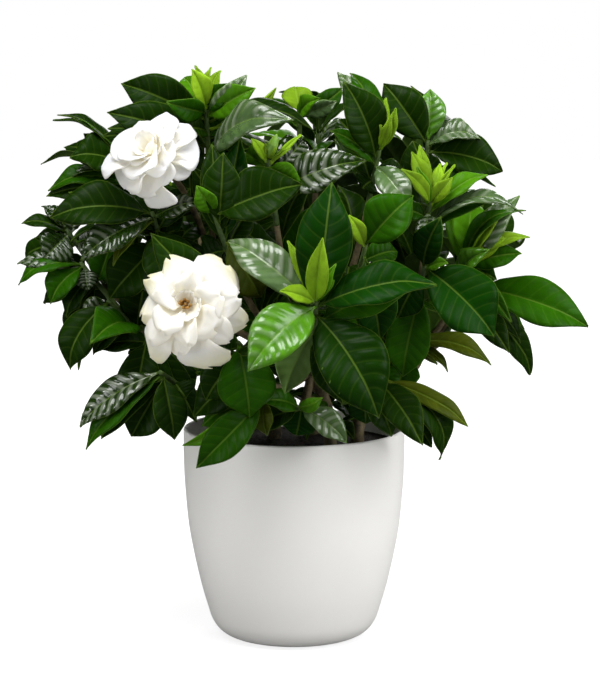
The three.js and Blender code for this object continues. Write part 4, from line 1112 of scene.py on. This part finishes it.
def leaf_sheet(blade, share, hand, half, relief, draw):
    """A leaf's points: folded along its midrib, arched, wavy at its rim, nodding, bent and twisted."""
    length = blade["length"]
    reach = np.abs(hand)
    turns = 1.6 + draw()
    starts = [draw() * TURN, draw() * TURN]
    wave = np.sin(TURN * turns * share + np.where(hand < 0, *starts)) * smooth_step(0.1, 0.35, share)
    wave = WAVE * blade["width"] * wave * reach ** 2.5
    fold = math.sin(LEAF_FOLD) * between(LEAF_FOLDS, draw()) * reach * half
    recurve = -RECURVE * half * reach ** 3
    nod = -between(NODS, draw()) * length * smooth_step(0.7, 1, share) * share
    height = arching(blade, share) + fold + recurve + relief + wave + nod
    bend = draw.spread(LEAF_BEND) * length * 4 * share * (1 - share)
    twist = draw.spread(LEAF_TWIST) * (share - 0.2)
    across = hand * half * math.cos(LEAF_FOLD)
    sideways = bend + across * np.cos(twist)
    return spread_out(blade, length * share, sideways, height + across * np.sin(twist))


def add_leaf(piece, blade, draw, room, rows=FINE, test=None):
    """A leaf whose rows of points follow its side veins, quilted between them.

    With a test, the leaf is only added where its points pass it and the space is free.
    """
    tone = TONES[blade["tone"]]
    step, hand, pairs = leaf_grid(blade["length"], blade["width"], rows)
    reach = np.abs(hand)
    share = step + VEIN_SKEW * 4 * step * (1 - step) * reach ** 1.25
    half = leaf_half_width(share, blade["width"])
    relief = leaf_relief(blade, share, reach, half, step * pairs % 1)
    sheet = leaf_sheet(blade, share, hand, half, relief, draw)
    outer = sheet[share[:, 0] > CLEAR_OF_STALK].reshape(-1, 3)
    if test and not (test(outer) and room.is_free(outer)):
        return False
    room.take(outer)
    thickness = np.where(share < PETIOLE_SHARE, PETIOLE_THICKNESS, between(LEAF_THICKNESS, reach))
    from_midrib = hand * half * math.cos(LEAF_FOLD)
    veins = np.stack([step * pairs + 0 * share, from_midrib / VEIN_UNIT], axis=2)
    colour = np.array(tone["colour"]) * (1 + draw.spread(LIGHTNESS_SPREAD))
    look = np.full(share.shape + (4,), [*colour, tone["gloss"]])
    surface = "leaf_glossy" if tone["gloss"] > GLOSSY_FROM else "leaf"
    top, under = MATERIALS[surface], MATERIALS["leaf_under"]
    add_sheet(piece, sheet, thickness, top, under, veins, look, (1 - reach) * half)
    return True


def from_axis(points):
    return np.hypot(points[:, 0], points[:, 1])


def is_inside(points):
    """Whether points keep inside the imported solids' box and clear of the pot."""
    low, high = np.array(cad_box) / MM
    above_rim = points[:, 2] > POT_HEIGHT + POT_CLEARANCE
    beside_rim = from_axis(points) > RIM_RADIUS + POT_CLEARANCE
    return (points > low).all() and (points < high).all() and (above_rim | beside_rim).all()


def is_in_crown(points):
    """Whether points keep above the crown's lower side, a cone that widens upward from the pot."""
    lower_side = CROWN_FOOT + np.maximum(0, from_axis(points) - CROWN_WAIST)
    return (points[:, 2] > lower_side).all() and is_inside(points)


def is_over_soil(points):
    """Whether points keep above the soil, inside the pot's rim."""
    return (points[:, 2] > SOIL_TOP + SOIL_CLEARANCE).all() and (from_axis(points) < INNER_RIM).all()


# Leaves inside the crown and low on the trunks: where they stand, how many are tried, their reach
BRANCH_LEAVES = {
    "shares": [0.3, 0.45, 0.6, 0.75, 0.9, 1.0], "tries": 8, "leans": [35, 95], "lengths": [52, 78],
    "tones": ["dark", "mid", "dark", "dark"], "test": is_in_crown,
}
TRUNK_LEAVES = {
    "shares": [0.0, 0.2, 0.4, 0.6, 0.8, 1.0], "tries": 9, "leans": [55, 100], "lengths": [26, 50],
    "tones": ["deep", "dark", "deep", "mid"], "test": is_over_soil,
}


def add_inner_leaves(piece, line, growth, draw, room):
    """Leaves along a branch or trunk, wherever there is room for them between the others."""
    for share in growth["shares"]:
        index = min(int(share * (len(line) - 1)), len(line) - 2)
        root, along = line[index], unit(line[index + 1] - line[index])
        across, over = square_to(along)
        for number in range(growth["tries"]):
            turn = (number / growth["tries"] + draw()) * TURN
            lean = math.radians(between(growth["leans"], draw()))
            length = between(growth["lengths"], draw())
            out = leaning(across, over, turn)
            tip = root + length * leaning(along, out, lean)
            tone = growth["tones"][number % len(growth["tones"])]
            leaf = {"root": root + out * INNER_OUT, "arch": INNER_ARCH, "tone": tone}
            face = along + np.array([0, 0, INNER_LIFT])
            blade = blade_of(leaf, tip, face, length * INNER_SLENDERNESS)
            add_leaf(piece, blade, draw, room, COARSE, growth["test"])


def add_stalk(piece, stalk, rings, material, look):
    """The round form of a packed stalk with flat sides."""
    points = [stalk.point(height) for height in np.linspace(0, stalk.length, rings)]
    add_tube(piece, points, np.linspace(*stalk.radii, rings) * SLIMMER, material, 20, look)


def add_twig(piece, twig):
    """A shoot's own stalk, swollen a little at its nodes."""
    shares = np.linspace(0, 1, 12)
    points = [twig.point(share * twig.length) for share in shares]
    radii = [
        between(twig.radii, share) * TWIG_SLIMMER * (1 + 0.1 * math.sin(share * 5 * math.pi) ** 2)
        for share in shares
    ]
    add_tube(piece, points, radii, MATERIALS["twig"], 10, TWIG_GREEN)


def petal_half_width(share, hand, width, form, draw):
    """Half a petal's width: a spoon's, drawn to a point where the form asks for one, scalloped."""
    fullest = form["fullest"]
    body = 0.3 + 0.7 * smooth_step(0, fullest, share)
    round_end = np.sqrt(np.clip(1 - ((share - fullest) / (1.002 - fullest)) ** 2, 0, 1))
    point = form["point"] * (1.1 - fullest) * 2
    drawn = 1 - point * smooth_step(0.66, 1, share) * 0.6
    half = np.where(share > fullest, body * (0.12 + 0.88 * round_end) * drawn, body) * width / 2
    scallop = np.sin(share * (9 + 5 * draw()) + draw() * 6 + (hand > 0) * 2)
    return np.maximum(half * (1 + PETAL_SCALLOP * scallop * np.abs(hand)), 1.2)


def petal_height(blade, share, hand, half, width, form, draw):
    """A petal's height over its chord: cupped sides, a curled end, a rolled and wavy rim."""
    reach = np.abs(hand)
    cup = form["cup"] * half * reach ** 2 * (1 - smooth_step(0.45, 1, share) * 0.8)
    curl = form["curl"] * blade["length"] * smooth_step(0.6, 1, share) ** 1.5 * (0.5 + reach ** 2)
    roll = form["roll"] * half * reach ** 5 * smooth_step(0.3, 0.85, share)
    turns = 1.1 + 0.9 * draw()
    start = np.where(hand < 0, draw() * 6, draw() * 6)
    wave = np.sin(TURN * turns * share + start) * reach ** 2 * smooth_step(0.2, 0.6, share)
    crease = np.exp(-((hand * half / 1.4) ** 2)) * smooth_step(0.1, 0.4, share)
    ripple = np.sin(hand * 9 + share * 3 + draw() * 6) * smooth_step(0.2, 0.8, share)
    details = PETAL_WAVE * width * wave - PETAL_CREASE * crease + PETAL_RIPPLE * ripple
    return arching(blade, share) + cup - curl - roll + details


def add_petal(piece, blade, draw, room, form, white):
    """A spoon-shaped petal with a wavy, turned-back rim."""
    length, width = blade["length"], blade["width"] * form["breadth"]
    share = np.linspace(0, 1, PETAL_ROWS + 1)[:, None]
    hand = np.linspace(-1, 1, PETAL_COLUMNS + 1)[None, :]
    reach = np.abs(hand)
    half = petal_half_width(share, hand, width, form, draw)
    depth = PETAL_NOTCH * draw() - PETAL_POINT * form["point"]
    notch = depth * reach ** 2 * length * smooth_step(0.5, 1, share)
    height = petal_height(blade, share, hand, half, width, form, draw)
    bend = draw.spread(PETAL_BEND) * length * 4 * share * (1 - share)
    sheet = spread_out(blade, length * share - notch, hand * half + bend, height)
    room.take(sheet.reshape(-1, 3))
    flat = 0 * height
    thickness = 0.8 - 0.4 * smooth_step(0.3, 1, share) + flat
    veins = np.stack([hand * 4 + flat, share * length / VEIN_UNIT + flat], axis=2)
    foot = form["foot"] * (1 - smooth_step(0.1, 0.8, share)) + flat
    tip = form["tip"] * smooth_step(0.64, 1, share) * (0.6 + 0.4 * reach)
    colour = mixed(mixed(white, PETAL_CREAM, foot), PETAL_TIP, tip)
    look = np.concatenate([colour, PETAL_GLOSS + flat[..., None]], axis=2)
    petal = MATERIALS["petal"]
    add_sheet(piece, sheet, thickness, petal, petal, veins, look, (1 - reach) * half)


def add_heart(name, piece, corolla, draw, room):
    """The furled inner petals of a bloom that isn't fully open."""
    root = corolla.point(corolla.length - 1)
    for count, length, width, lean in HEART_PETALS[name]:
        for number in range(count):
            turn = (number + 0.4 * draw() + count * 0.3) / count * TURN
            out = turned_about(corolla.frame[0], corolla.along, turn)
            angle = math.radians(lean * (0.7 + 0.6 * draw()))
            tip = root + length * (0.85 + 0.3 * draw()) * leaning(corolla.along, out, angle)
            leaf = {"root": root + out * 0.8, "arch": HEART_ARCH}
            blade = blade_of(leaf, tip, -out + 0.2 * corolla.along, width)
            add_petal(piece, blade, draw, room, HEART_FORM, PETAL_WHITE[name])


class Nodes:
    """Short ways to add and link the nodes of a material or world."""

    def __init__(self, owner):
        owner.use_nodes = True
        self.owner = owner
        self.tree = owner.node_tree
        self.tree.nodes.clear()

    def add(self, kind, inputs=None, **settings):
        node = self.tree.nodes.new(f"ShaderNode{kind}")
        for name, value in settings.items():
            setattr(node, name, value)
        for key, value in (inputs or {}).items():
            self.join(value, node.inputs[key])
        return node

    def join(self, value, socket):
        if isinstance(value, bpy.types.NodeSocket):
            self.tree.links.new(value, socket)
        else:
            socket.default_value = value

    def surface(self, inputs):
        """Ends a material in its shader."""
        shader = self.add("BsdfPrincipled", inputs)
        self.add("OutputMaterial", {"Surface": shader.outputs[0]})
        return self.owner

    def math(self, operation, *values):
        return self.add("Math", dict(enumerate(values)), operation=operation).outputs[0]

    def ramp(self, value, low, high, start=0.0, end=1.0):
        node = self.add("MapRange", {
            "Value": value, "From Min": low, "From Max": high, "To Min": start, "To Max": end,
        }, interpolation_type="SMOOTHSTEP")
        return node.outputs["Result"]

    def mix(self, factor, a, b):
        node = self.add("Mix", data_type="RGBA")
        self.join(factor, node.inputs["Factor"])
        first, second = [socket for socket in node.inputs if socket.type == "RGBA"]
        self.join(a, first)
        self.join(b, second)
        return next(socket for socket in node.outputs if socket.type == "RGBA")

    def position(self):
        return self.add("TexCoord").outputs["Object"]

    def noise(self, scale, detail=3.0, roughness=0.5):
        inputs = {"Scale": scale, "Detail": detail, "Roughness": roughness, "Vector": self.position()}
        return self.add("TexNoise", inputs).outputs["Fac"]

    def bump(self, height, distance, strength=1.0):
        node = self.add("Bump", {"Height": height, "Distance": distance, "Strength": strength})
        return node.outputs["Normal"]

    def look(self):
        """The look that a piece has at each point: its colour, and its gloss as Alpha."""
        return self.add("Attribute", attribute_name="look").outputs

    def veins(self):
        """The two coordinates that a piece's "veins" layer has at each point."""
        layer = self.add("UVMap", uv_map="veins").outputs["UV"]
        axes = self.add("SeparateXYZ", {"Vector": layer}).outputs
        return axes["X"], axes["Y"]


def leaf_lines(n):
    """Where a leaf's side veins, midrib and rim are, from 0 to 1, and how far a vein is."""
    along, across = n.veins()
    from_vein = n.math("PINGPONG", along, 0.5)
    from_midrib = n.math("MULTIPLY", n.math("ABSOLUTE", across), VEIN_UNIT)
    side_vein = n.math("MULTIPLY", n.ramp(from_vein, 0.02, 0.12, 1.0, 0.0), SIDE_VEINS)
    midrib = n.ramp(from_midrib, 0.4, 1.0, 1.0, 0.0)
    from_edge = n.add("Attribute", attribute_name="edge").outputs["Fac"]
    # The pale line along the rim is painted highlight, a light halo on the leaf's margin
    rim = n.ramp(from_edge, 0.15, 0.6, 1.0, 0.0)
    return n.math("MAXIMUM", n.math("MAXIMUM", side_vein, midrib), rim), from_vein


def leaf_material(name, specular, is_under=False):
    """A blade with impressed pale veins and, on glossy tones, painted sheen between them, or its duller
    underside with raised ones.
    """
    n = Nodes(bpy.data.materials.new(name))
    look = n.look()
    lines, from_vein = leaf_lines(n)
    mottle = n.noise(55.0, 4.0, 0.6)
    fleck = n.noise(420.0, 2.0)
    base = n.mix(n.ramp(mottle, 0.3, 0.7, 0.0, 0.4), look["Color"], LEAF_SHADE)
    pale = n.mix(0.5, look["Color"], VEIN_COLOUR)
    # Pale veins and midrib, and the rim's painted highlight, mixed into the colour
    colour = n.mix(n.math("MULTIPLY", lines, 0.45), base, pale)
    if is_under:
        colour = n.mix(n.ramp(mottle, 0.2, 0.8, 0.55, 0.75), colour, LEAF_UNDERSIDE)
        roughness = n.ramp(fleck, 0.2, 0.8, 0.5, 0.62)
        relief = lines
    else:
        gloss = n.ramp(look["Alpha"], 0.0, 1.0, 0.4, 0.18)
        # Painted sheen: glossy tones get a pale grey-green band, in patches, on the crest between side
        # veins, painted into the colour as a highlight
        patches = n.ramp(n.noise(28.0, 2.0), 0.38, 0.55)
        crest = n.math("MULTIPLY", n.ramp(from_vein, 0.15, 0.45), patches)
        painted_sheen = n.math("MULTIPLY", crest, n.ramp(look["Alpha"], 0.5, 1.0, 0.0, 0.36))
        colour = n.mix(painted_sheen, colour, LEAF_PAINTED_SHEEN)
        roughness = n.math("ADD", gloss, n.ramp(fleck, 0.2, 0.8, -0.04, 0.06))
        relief = n.math("SUBTRACT", 1.0, lines)
    cells = n.add("TexVoronoi", {"Vector": n.position(), "Scale": 900.0}).outputs["Distance"]
    height = n.math("ADD", relief, n.math("MULTIPLY", cells, 0.12))
    return n.surface({
        "Base Color": colour, "Roughness": roughness, "Specular IOR Level": specular,
        "Normal": n.bump(height, 0.00035, 0.6),
    })


def petal_material():
    """Soft white petals, lit through a little, with faint streaks along them, and a faint glow of painted
    light that lifts their shade.
    """
    n = Nodes(bpy.data.materials.new("petal"))
    across, along = n.veins()
    stretched = n.add("CombineXYZ", {
        "X": n.math("MULTIPLY", across, 3.0), "Y": n.math("MULTIPLY", along, 0.35),
    }).outputs[0]
    streak = n.add("TexNoise", {"Vector": stretched, "Scale": 2.2, "Detail": 3.0}).outputs["Fac"]
    soft = n.noise(70.0)
    streaked = n.mix(n.ramp(streak, 0.35, 0.75, 0.0, 0.25), n.look()["Color"], PETAL_STREAK)
    return n.surface({
        "Base Color": n.mix(n.ramp(soft, 0.4, 0.8, 0.0, 0.15), streaked, PETAL_PATCH),
        "Roughness": n.ramp(soft, 0.2, 0.8, 0.42, 0.6),
        "Subsurface Weight": 0.6,
        "Subsurface Radius": [1.0, 0.9, 0.6],
        "Subsurface Scale": 0.004,
        # Painted light: a faint cream glow that lifts the shade between the petals
        "Emission Color": [1.0, 0.95, 0.82, 1],
        "Emission Strength": 0.1,
        "Normal": n.bump(streak, 0.0004, 0.4),
    })


def calyx_material():
    n = Nodes(bpy.data.materials.new("calyx"))
    soft = n.noise(160.0)
    return n.surface({
        "Base Color": n.mix(n.ramp(soft, 0.35, 0.7, 0.0, 0.4), n.look()["Color"], CALYX_GREEN),
        "Roughness": n.ramp(soft, 0.2, 0.8, 0.35, 0.5),
        "Subsurface Weight": 0.15,
        "Subsurface Scale": 0.002,
        "Normal": n.bump(soft, 0.0003, 0.4),
    })


def grained_material(name, grain):
    """Two colours in patches, and a finer grain in the roughness and the relief."""
    n = Nodes(bpy.data.materials.new(name))
    patches = n.noise(*grain["patches"])
    fine = n.noise(*grain["fine"])
    heights = [n.math("MULTIPLY", value, share) for value, share in zip((patches, fine), grain["relief"])]
    return n.surface({
        "Base Color": n.mix(n.ramp(patches, *grain["range"]), *grain["colours"]),
        "Roughness": n.ramp(fine, *grain["roughness"]),
        "Normal": n.bump(n.math("ADD", *heights), *grain["bump"]),
    })


MATERIALS = {name: grained_material(name, grain) for name, grain in GRAINS.items()}
MATERIALS["leaf"] = leaf_material("leaf", 0.055)
MATERIALS["leaf_glossy"] = leaf_material("leaf_glossy", 0.7)
MATERIALS["leaf_under"] = leaf_material("leaf_under", 0.05, True)
MATERIALS["petal"] = petal_material()
MATERIALS["calyx"] = calyx_material()


def curve_points(points, count):
    """Points along a smooth curve through some others (Catmull and Rom's)."""
    points = [np.array(point, dtype=float) for point in points]
    padded = [2 * points[0] - points[1], *points, 2 * points[-1] - points[-2]]
    result = []
    for step in range(count + 1):
        place_along = step / count * (len(points) - 1)
        index = min(int(place_along), len(points) - 2)
        t = place_along - index
        a, b, c, d = padded[index:index + 4]
        square = (2 * a - 5 * b + 4 * c - d) * t ** 2
        cube = (3 * b - a - 3 * c + d) * t ** 3
        result.append(0.5 * (2 * b + (c - a) * t + square + cube))
    return result


def quadratic(a, b, c, count):
    shares = np.linspace(0, 1, count + 1)[:, None]
    return (1 - shares) ** 2 * a + 2 * shares * (1 - shares) * b + shares ** 2 * c


def pot_side():
    """The outline of the pot's side, from the flat foot up to the rim's edge."""
    foot = quadratic(np.array([FOOT_RADIUS, 0]), np.array([FOOT_BEND, 0]), np.array(POT_SIDE[0]), 14)
    return [*foot, *curve_points(POT_SIDE, 40)[1:]]


def make_pot():
    outside = pot_side()
    lip = POT_WALL / 2
    arc = [
        [RIM_RADIUS - lip + lip * math.cos(angle), POT_HEIGHT - lip + lip * math.sin(angle)]
        for angle in np.linspace(0, math.pi, 13)
    ]
    inside = [[x - POT_WALL, y] for x, y in reversed(outside) if POT_FLOOR < y < POT_HEIGHT - lip]
    floor = [[inside[-1][0] - POT_FLOOR, POT_FLOOR], [0, POT_FLOOR]]
    piece = Piece("pot_fine")
    add_turned(piece, [[0, 0], *outside, *arc, *inside, *floor], POT_TURNS, MATERIALS["pot"])
    piece.finish("pot", "pot")


def rough_soil(points):
    """Lumps and crumbs on the soil's top, fading out near the pot's wall."""
    moved = points.copy()
    for index, point in enumerate(points):
        radius = math.hypot(point[0], point[1])
        if point[2] < SOIL_TOP - 2 or radius > SOIL_ROUGH_RADIUS:
            continue
        lump = noise.fractal(Vector(point) * SOIL_LUMPS["scale"], 0.8, 2.2, 4) * SOIL_LUMPS["height"]
        crumb = noise.noise(Vector(point) * SOIL_CRUMBS["scale"]) * SOIL_CRUMBS["height"]
        fade = min(1, (SOIL_ROUGH_RADIUS + 1 - radius) / 6)
        moved[index, 2] += (lump + crumb - 0.8) * fade
    return moved


def make_soil():
    wall = [[x - POT_WALL - GAP, y] for x, y in pot_side() if POT_FLOOR + 1 < y < SOIL_TOP - 1]
    edge = wall[-1][0]
    top = [
        [edge * (1 - share), SOIL_TOP - 1 + (SOIL_MOUND + 1) * math.sin(share * math.pi / 2)]
        for share in np.linspace(0, 0.985, SOIL_RINGS)
    ]
    floor = [[0, POT_FLOOR + GAP], [wall[0][0] - POT_FLOOR, POT_FLOOR + GAP]]
    piece = Piece("soil_fine")
    profile = [*floor, *wall[::3], *top, [0, SOIL_TOP + SOIL_MOUND]]
    add_turned(piece, profile, SOIL_TURNS, MATERIALS["soil"], rough_soil)
    piece.finish("soil", "soil")


def tapered(radii, count):
    """Radii at even steps along a stem, through some given ones."""
    return np.interp(np.linspace(0, len(radii) - 1, count), range(len(radii)), radii)


def make_stem(stem, stalks):
    """A trunk from the soil to its fork, and a branch from the fork to each stalk."""
    x, y = WOODY_STEMS[stem]["foot"]
    fork = np.array(WOODY_STEMS[stem]["fork"], dtype=float)
    low = np.array([x, y, STEM_FOOT_HEIGHT], dtype=float)
    straight = np.array([x, y, STEM_STRAIGHT], dtype=float)
    bend = np.array([x, y, (STEM_STRAIGHT + fork[2]) / 2])
    trunk = [low, *quadratic(straight, bend, fork, STEM_STEPS)]
    piece = Piece(f"woody_stem_{stem}_fine")
    add_tube(piece, trunk, tapered(STEM_RADII, len(trunk)), MATERIALS["bark"], 14)
    branches = []
    for stalk in stalks:
        end = stalk.start - stalk.along * GAP
        ease = BRANCH_EASE * np.linalg.norm(end - fork)
        branch = quadratic(fork, end - stalk.along * ease, end, STEM_STEPS)
        add_tube(piece, branch, tapered(BRANCH_RADII, len(branch)) * SLIMMER, MATERIALS["bark"], 10)
        branches.append(branch)
    piece.finish("bark", f"woody_stem_{stem}")
    return trunk[2:], branches


def make_shoot(shoot, draw, room):
    """Starts a shoot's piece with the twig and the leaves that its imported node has."""
    seat_leaves(shoot["twig"], shoot["leaves"])
    blades, left_over = chosen(shoot["name"], shoot["leaves"], shoot["choices"])
    piece = Piece(f"{shoot['name']}_fine")
    add_twig(piece, shoot["twig"])
    is_front = shoot["choices"] is front_choices
    for blade in blades:
        add_leaf(piece, blade, draw, room, FINE if is_front else COARSE)
    return {"shoot": shoot, "piece": piece, "left_over": left_over if is_front else []}


def finish_shoot(made, draw, room):
    """Adds a shoot's other leaves where they have room, small ones anyhow."""
    shoot, piece, twig = made["shoot"], made["piece"], made["shoot"]["twig"]
    for leaf in shoot["extra"]:
        foot = twig.point(leaf["share"] * twig.length * 0.97)
        leaf["root"] = foot + unit(leaf["direction"]) * SHOOT_RADII[1] * 0.6
    for leaf in made["left_over"] + shoot["extra"]:
        blades = list(shoot["choices"](leaf))
        placed = any(add_leaf(piece, blade, draw, room, FINE, is_inside) for blade in blades)
        if not placed and leaf["width"] < SMALL_WIDTH:
            add_leaf(piece, blades[0], draw, room)
    piece.finish("leaf", shoot["name"])


def bloom_stalks(heart, axis):
    middle = place(*heart)
    along = unit(np.array(axis, dtype=float))
    return [
        Stalk(middle - along * part["back"], along, part["length"], part["radii"], part["sides"])
        for part in (COROLLA, CALYX)
    ]


def seated_petals(corolla, middle, layers, forms):
    petals = []
    for form, (share, width, arch, tips) in zip(forms, layers):
        for across, down, reach, breadth, fullest in tips:
            tip = [across, down, middle[1] - reach]
            own = {"breadth": form["breadth"] * breadth, "fullest": fullest}
            petals.append({
                "share": share, "width": width, "arch": arch, "along": corolla.along,
                "tone": {**form, **own}, "tip": tip, "direction": place(*tip) - middle,
            })
    seat_leaves(corolla, petals)
    return petals


def make_bloom(name, heart, axis, layers, draw, room):
    corolla, cup = bloom_stalks(heart, axis)
    middle = place(*heart)
    petals = seated_petals(corolla, middle, layers, PETAL_FORMS[name])
    blades, _ = chosen(name, petals, petal_choices)
    extra = seated_petals(corolla, middle, EXTRA_PETALS[name], PETAL_FORMS[name][1:])
    blades += [next(petal_choices(petal)) for petal in extra]
    piece = Piece(f"{name}_fine")
    add_stalk(piece, corolla, 6, MATERIALS["petal"], [*PETAL_CREAM, PETAL_GLOSS])
    for blade in blades:
        add_petal(piece, blade, draw, room, blade["tone"], PETAL_WHITE[name])
    add_heart(name, piece, corolla, draw, room)
    if name == "bloom_lower":
        add_stamens(piece, corolla, draw)
    piece.finish("petal", name)
    make_calyx(name, cup)


def add_stamens(piece, corolla, draw):
    """Short plump anthers round a style, in the open heart of the bloom."""
    top = corolla.point(corolla.length + 2)
    last = STAMENS - 1
    shares = np.linspace(0, 1, 9)
    radii = 0.3 + 0.85 * np.sin(math.pi * shares ** 0.9) ** 0.7
    for number in range(STAMENS):
        angle = number / last * TURN + draw.spread(0.5)
        out = 0 if number == last else 1.5 + 0.9 * draw()
        foot = top + out * leaning(*corolla.frame, angle)
        lean = unit(corolla.along + 0.1 * (foot - top))
        points = [foot + lean * between(STAMEN_LENGTHS, draw()) * share for share in shares]
        add_tube(piece, points, radii, MATERIALS["stamen"], 10)


def make_calyx(name, cup):
    piece = Piece(f"{name}_calyx_fine")
    add_stalk(piece, cup, 8, MATERIALS["calyx"], CALYX_LOOK)
    sepals = []
    for number in range(cup.sides):
        direction = turned_about(cup.frame[0], cup.along, number / cup.sides * TURN)
        sepals.append({**SEPAL, "along": cup.along, "direction": direction, "tone": "lime"})
    seat_leaves(cup, sepals)
    draw = Draw(CALYX_SEED)
    for blade in chosen(f"{name}_calyx", sepals, sepal_choices)[0]:
        add_leaf(piece, blade, draw, Room())
    piece.finish("calyx", f"{name}_calyx")


def furled(base, along, length, radius):
    """The rings of a bud whose petals are wound round it."""
    angles = np.arange(BUD_SIDES) / BUD_SIDES * TURN
    unit_ring = circle(*square_to(along), BUD_SIDES)
    for share in np.linspace(0, 1, BUD_RINGS):
        reach = radius * np.interp(share, *BUD_OUTLINE)
        furl = 1 + 0.09 * np.cos(3 * (angles + 2.4 * share)) ** 3
        yield base + along * length * share + reach * furl[:, None] * unit_ring


def make_bud(bud, twig, depth):
    """A furled bud: pointed, with petals wound round it and narrow sepals at its foot."""
    across, down, reach = bud["tip"]
    tip = place(across, down, depth - reach)
    apex = twig.point(twig.length)
    along = unit(tip - apex)
    base = apex + twig.along * GAP + along * bud["radius"] * BUD_LIFT
    length = np.linalg.norm(tip - base)
    piece = Piece(f"{bud['name']}_fine")
    add_rings(piece, list(furled(base, along, length, bud["radius"])), MATERIALS["calyx"], BUD_LOOK)
    draw = Draw(BUD_SEED)
    for number in range(BUD_SEPALS):
        out = turned_about(square_to(along)[0], along, number / BUD_SEPALS * TURN)
        sepal_tip = base + along * length * 0.5 + out * bud["radius"] * 1.9
        leaf = {"root": base + out * bud["radius"] * 0.4, "arch": 0.1, "tone": "lime"}
        blade = blade_of(leaf, sepal_tip, out + 0.2 * along, BUD_SEPAL_WIDTH)
        add_leaf(piece, blade, draw, Room(), COARSE)
    piece.finish("calyx", bud["name"])


def make_plant():
    shoots = [*front_shoots(), *outer_shoots()]
    carried = [(shoot["stem"], shoot["twig"]) for shoot in shoots]
    carried += [(stem, bloom_stalks(heart, axis)[1]) for _, stem, heart, axis, _ in BLOOMS]
    draw = Draw(PLANT_SEED)
    room = Room()
    for name, _, heart, axis, layers in BLOOMS:
        make_bloom(name, heart, axis, layers, draw, room)
    for made in [make_shoot(shoot, draw, room) for shoot in shoots]:
        finish_shoot(made, draw, room)
    inner_draw = Draw(INNER_SEED)
    for stem in WOODY_STEMS:
        trunk, branches = make_stem(stem, [stalk for owner, stalk in carried if owner == stem])
        piece = Piece(f"inner_leaves_{stem}")
        add_inner_leaves(piece, trunk, TRUNK_LEAVES, inner_draw, room)
        for branch in branches:
            add_inner_leaves(piece, branch, BRANCH_LEAVES, inner_draw, room)
        piece.finish("leaf")
    by_name = {shoot["name"]: shoot for shoot in shoots}
    for bud in BUDS:
        shoot = by_name[f"shoot_{bud['shoot']}"]
        make_bud(bud, shoot["twig"], shoot["depth"])


def make_floor():
    """A pale round floor that the camera sees brighter than it lights the plant from below."""
    mesh = bpy.data.meshes.new("floor")
    rim = FLOOR_RADIUS * circle(np.array([1, 0, 0]), np.array([0, 1, 0]), FLOOR_SIDES)
    rim[:, 2] = -FLOOR_GAP
    mesh.from_pydata(rim.tolist(), [], [list(range(FLOOR_SIDES))])
    floor = added("floor", mesh)
    n = Nodes(bpy.data.materials.new("floor"))
    seen = n.add("LightPath").outputs["Is Camera Ray"]
    mesh.materials.append(n.surface({
        "Base Color": n.mix(n.noise(3.0, 2.0), *FLOOR_GREYS),
        "Roughness": 0.9,
        "Specular IOR Level": 0.1,
        "Emission Color": WHITE,
        "Emission Strength": n.ramp(seen, 0.0, 1.0, *FLOOR_GLOW),
    }))
    floor.visible_glossy = False
    floor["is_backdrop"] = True


def make_lamp(name, kind, position, target, power, **settings):
    light = bpy.data.lights.new(name, kind)
    light.energy = power
    for key, value in settings.items():
        setattr(light, key, value)
    lamp = added(name, light)
    lamp.location = position
    lamp.rotation_euler = (Vector(target) - Vector(position)).to_track_quat("-Z", "Y").to_euler()
    return lamp


def make_lamps():
    """A sun as wide as a patch of sky, soft discs, and low beams that only reach the pot."""
    sky = make_lamp("sky", "SUN", SKY_FROM, [0, 0, 0], SKY_STRENGTH, angle=SKY_SPREAD)
    sky.visible_glossy = False
    for name, position, target, size, power in AREA_LAMPS:
        make_lamp(name, "AREA", position, target, power, shape="DISK", size=size)
    for name, position, power in POT_LAMPS:
        make_lamp(name, "SPOT", position, POT_LAMP_TARGET, power, **POT_BEAM)


def make_world():
    """White to the camera, and hardly any light of its own."""
    world = bpy.data.worlds.new("studio")
    bpy.context.scene.world = world
    n = Nodes(world)
    lit, seen = [
        n.add("Background", {"Color": WHITE, "Strength": strength}).outputs[0]
        for strength in (WORLD_LIGHT, 1.0)
    ]
    is_camera = n.add("LightPath").outputs["Is Camera Ray"]
    mix = n.add("MixShader", {0: is_camera, 1: lit, 2: seen})
    n.add("OutputWorld", {0: mix.outputs[0]})


def make_camera():
    data = bpy.data.cameras.new("camera")
    data.sensor_width = 36
    data.lens = SHEET_REACH * data.sensor_width / SHEET_SIZE[1]
    data.clip_end = 20
    camera = added("camera", data)
    camera.location = Vector(EYE) * MM
    camera.rotation_euler = (math.pi / 2 - LOOK_DOWN, 0, 0)
    bpy.context.scene.camera = camera


def write_sizes():
    boxes = {"cad": cad_box, "visual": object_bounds()}
    plain = {name: [[float(value) for value in corner] for corner in box] for name, box in boxes.items()}


bpy.context.scene.view_settings.view_transform = "Standard"
make_camera()
make_pot()
make_soil()
make_plant()
make_floor()
make_world()
make_lamps()
write_sizes()
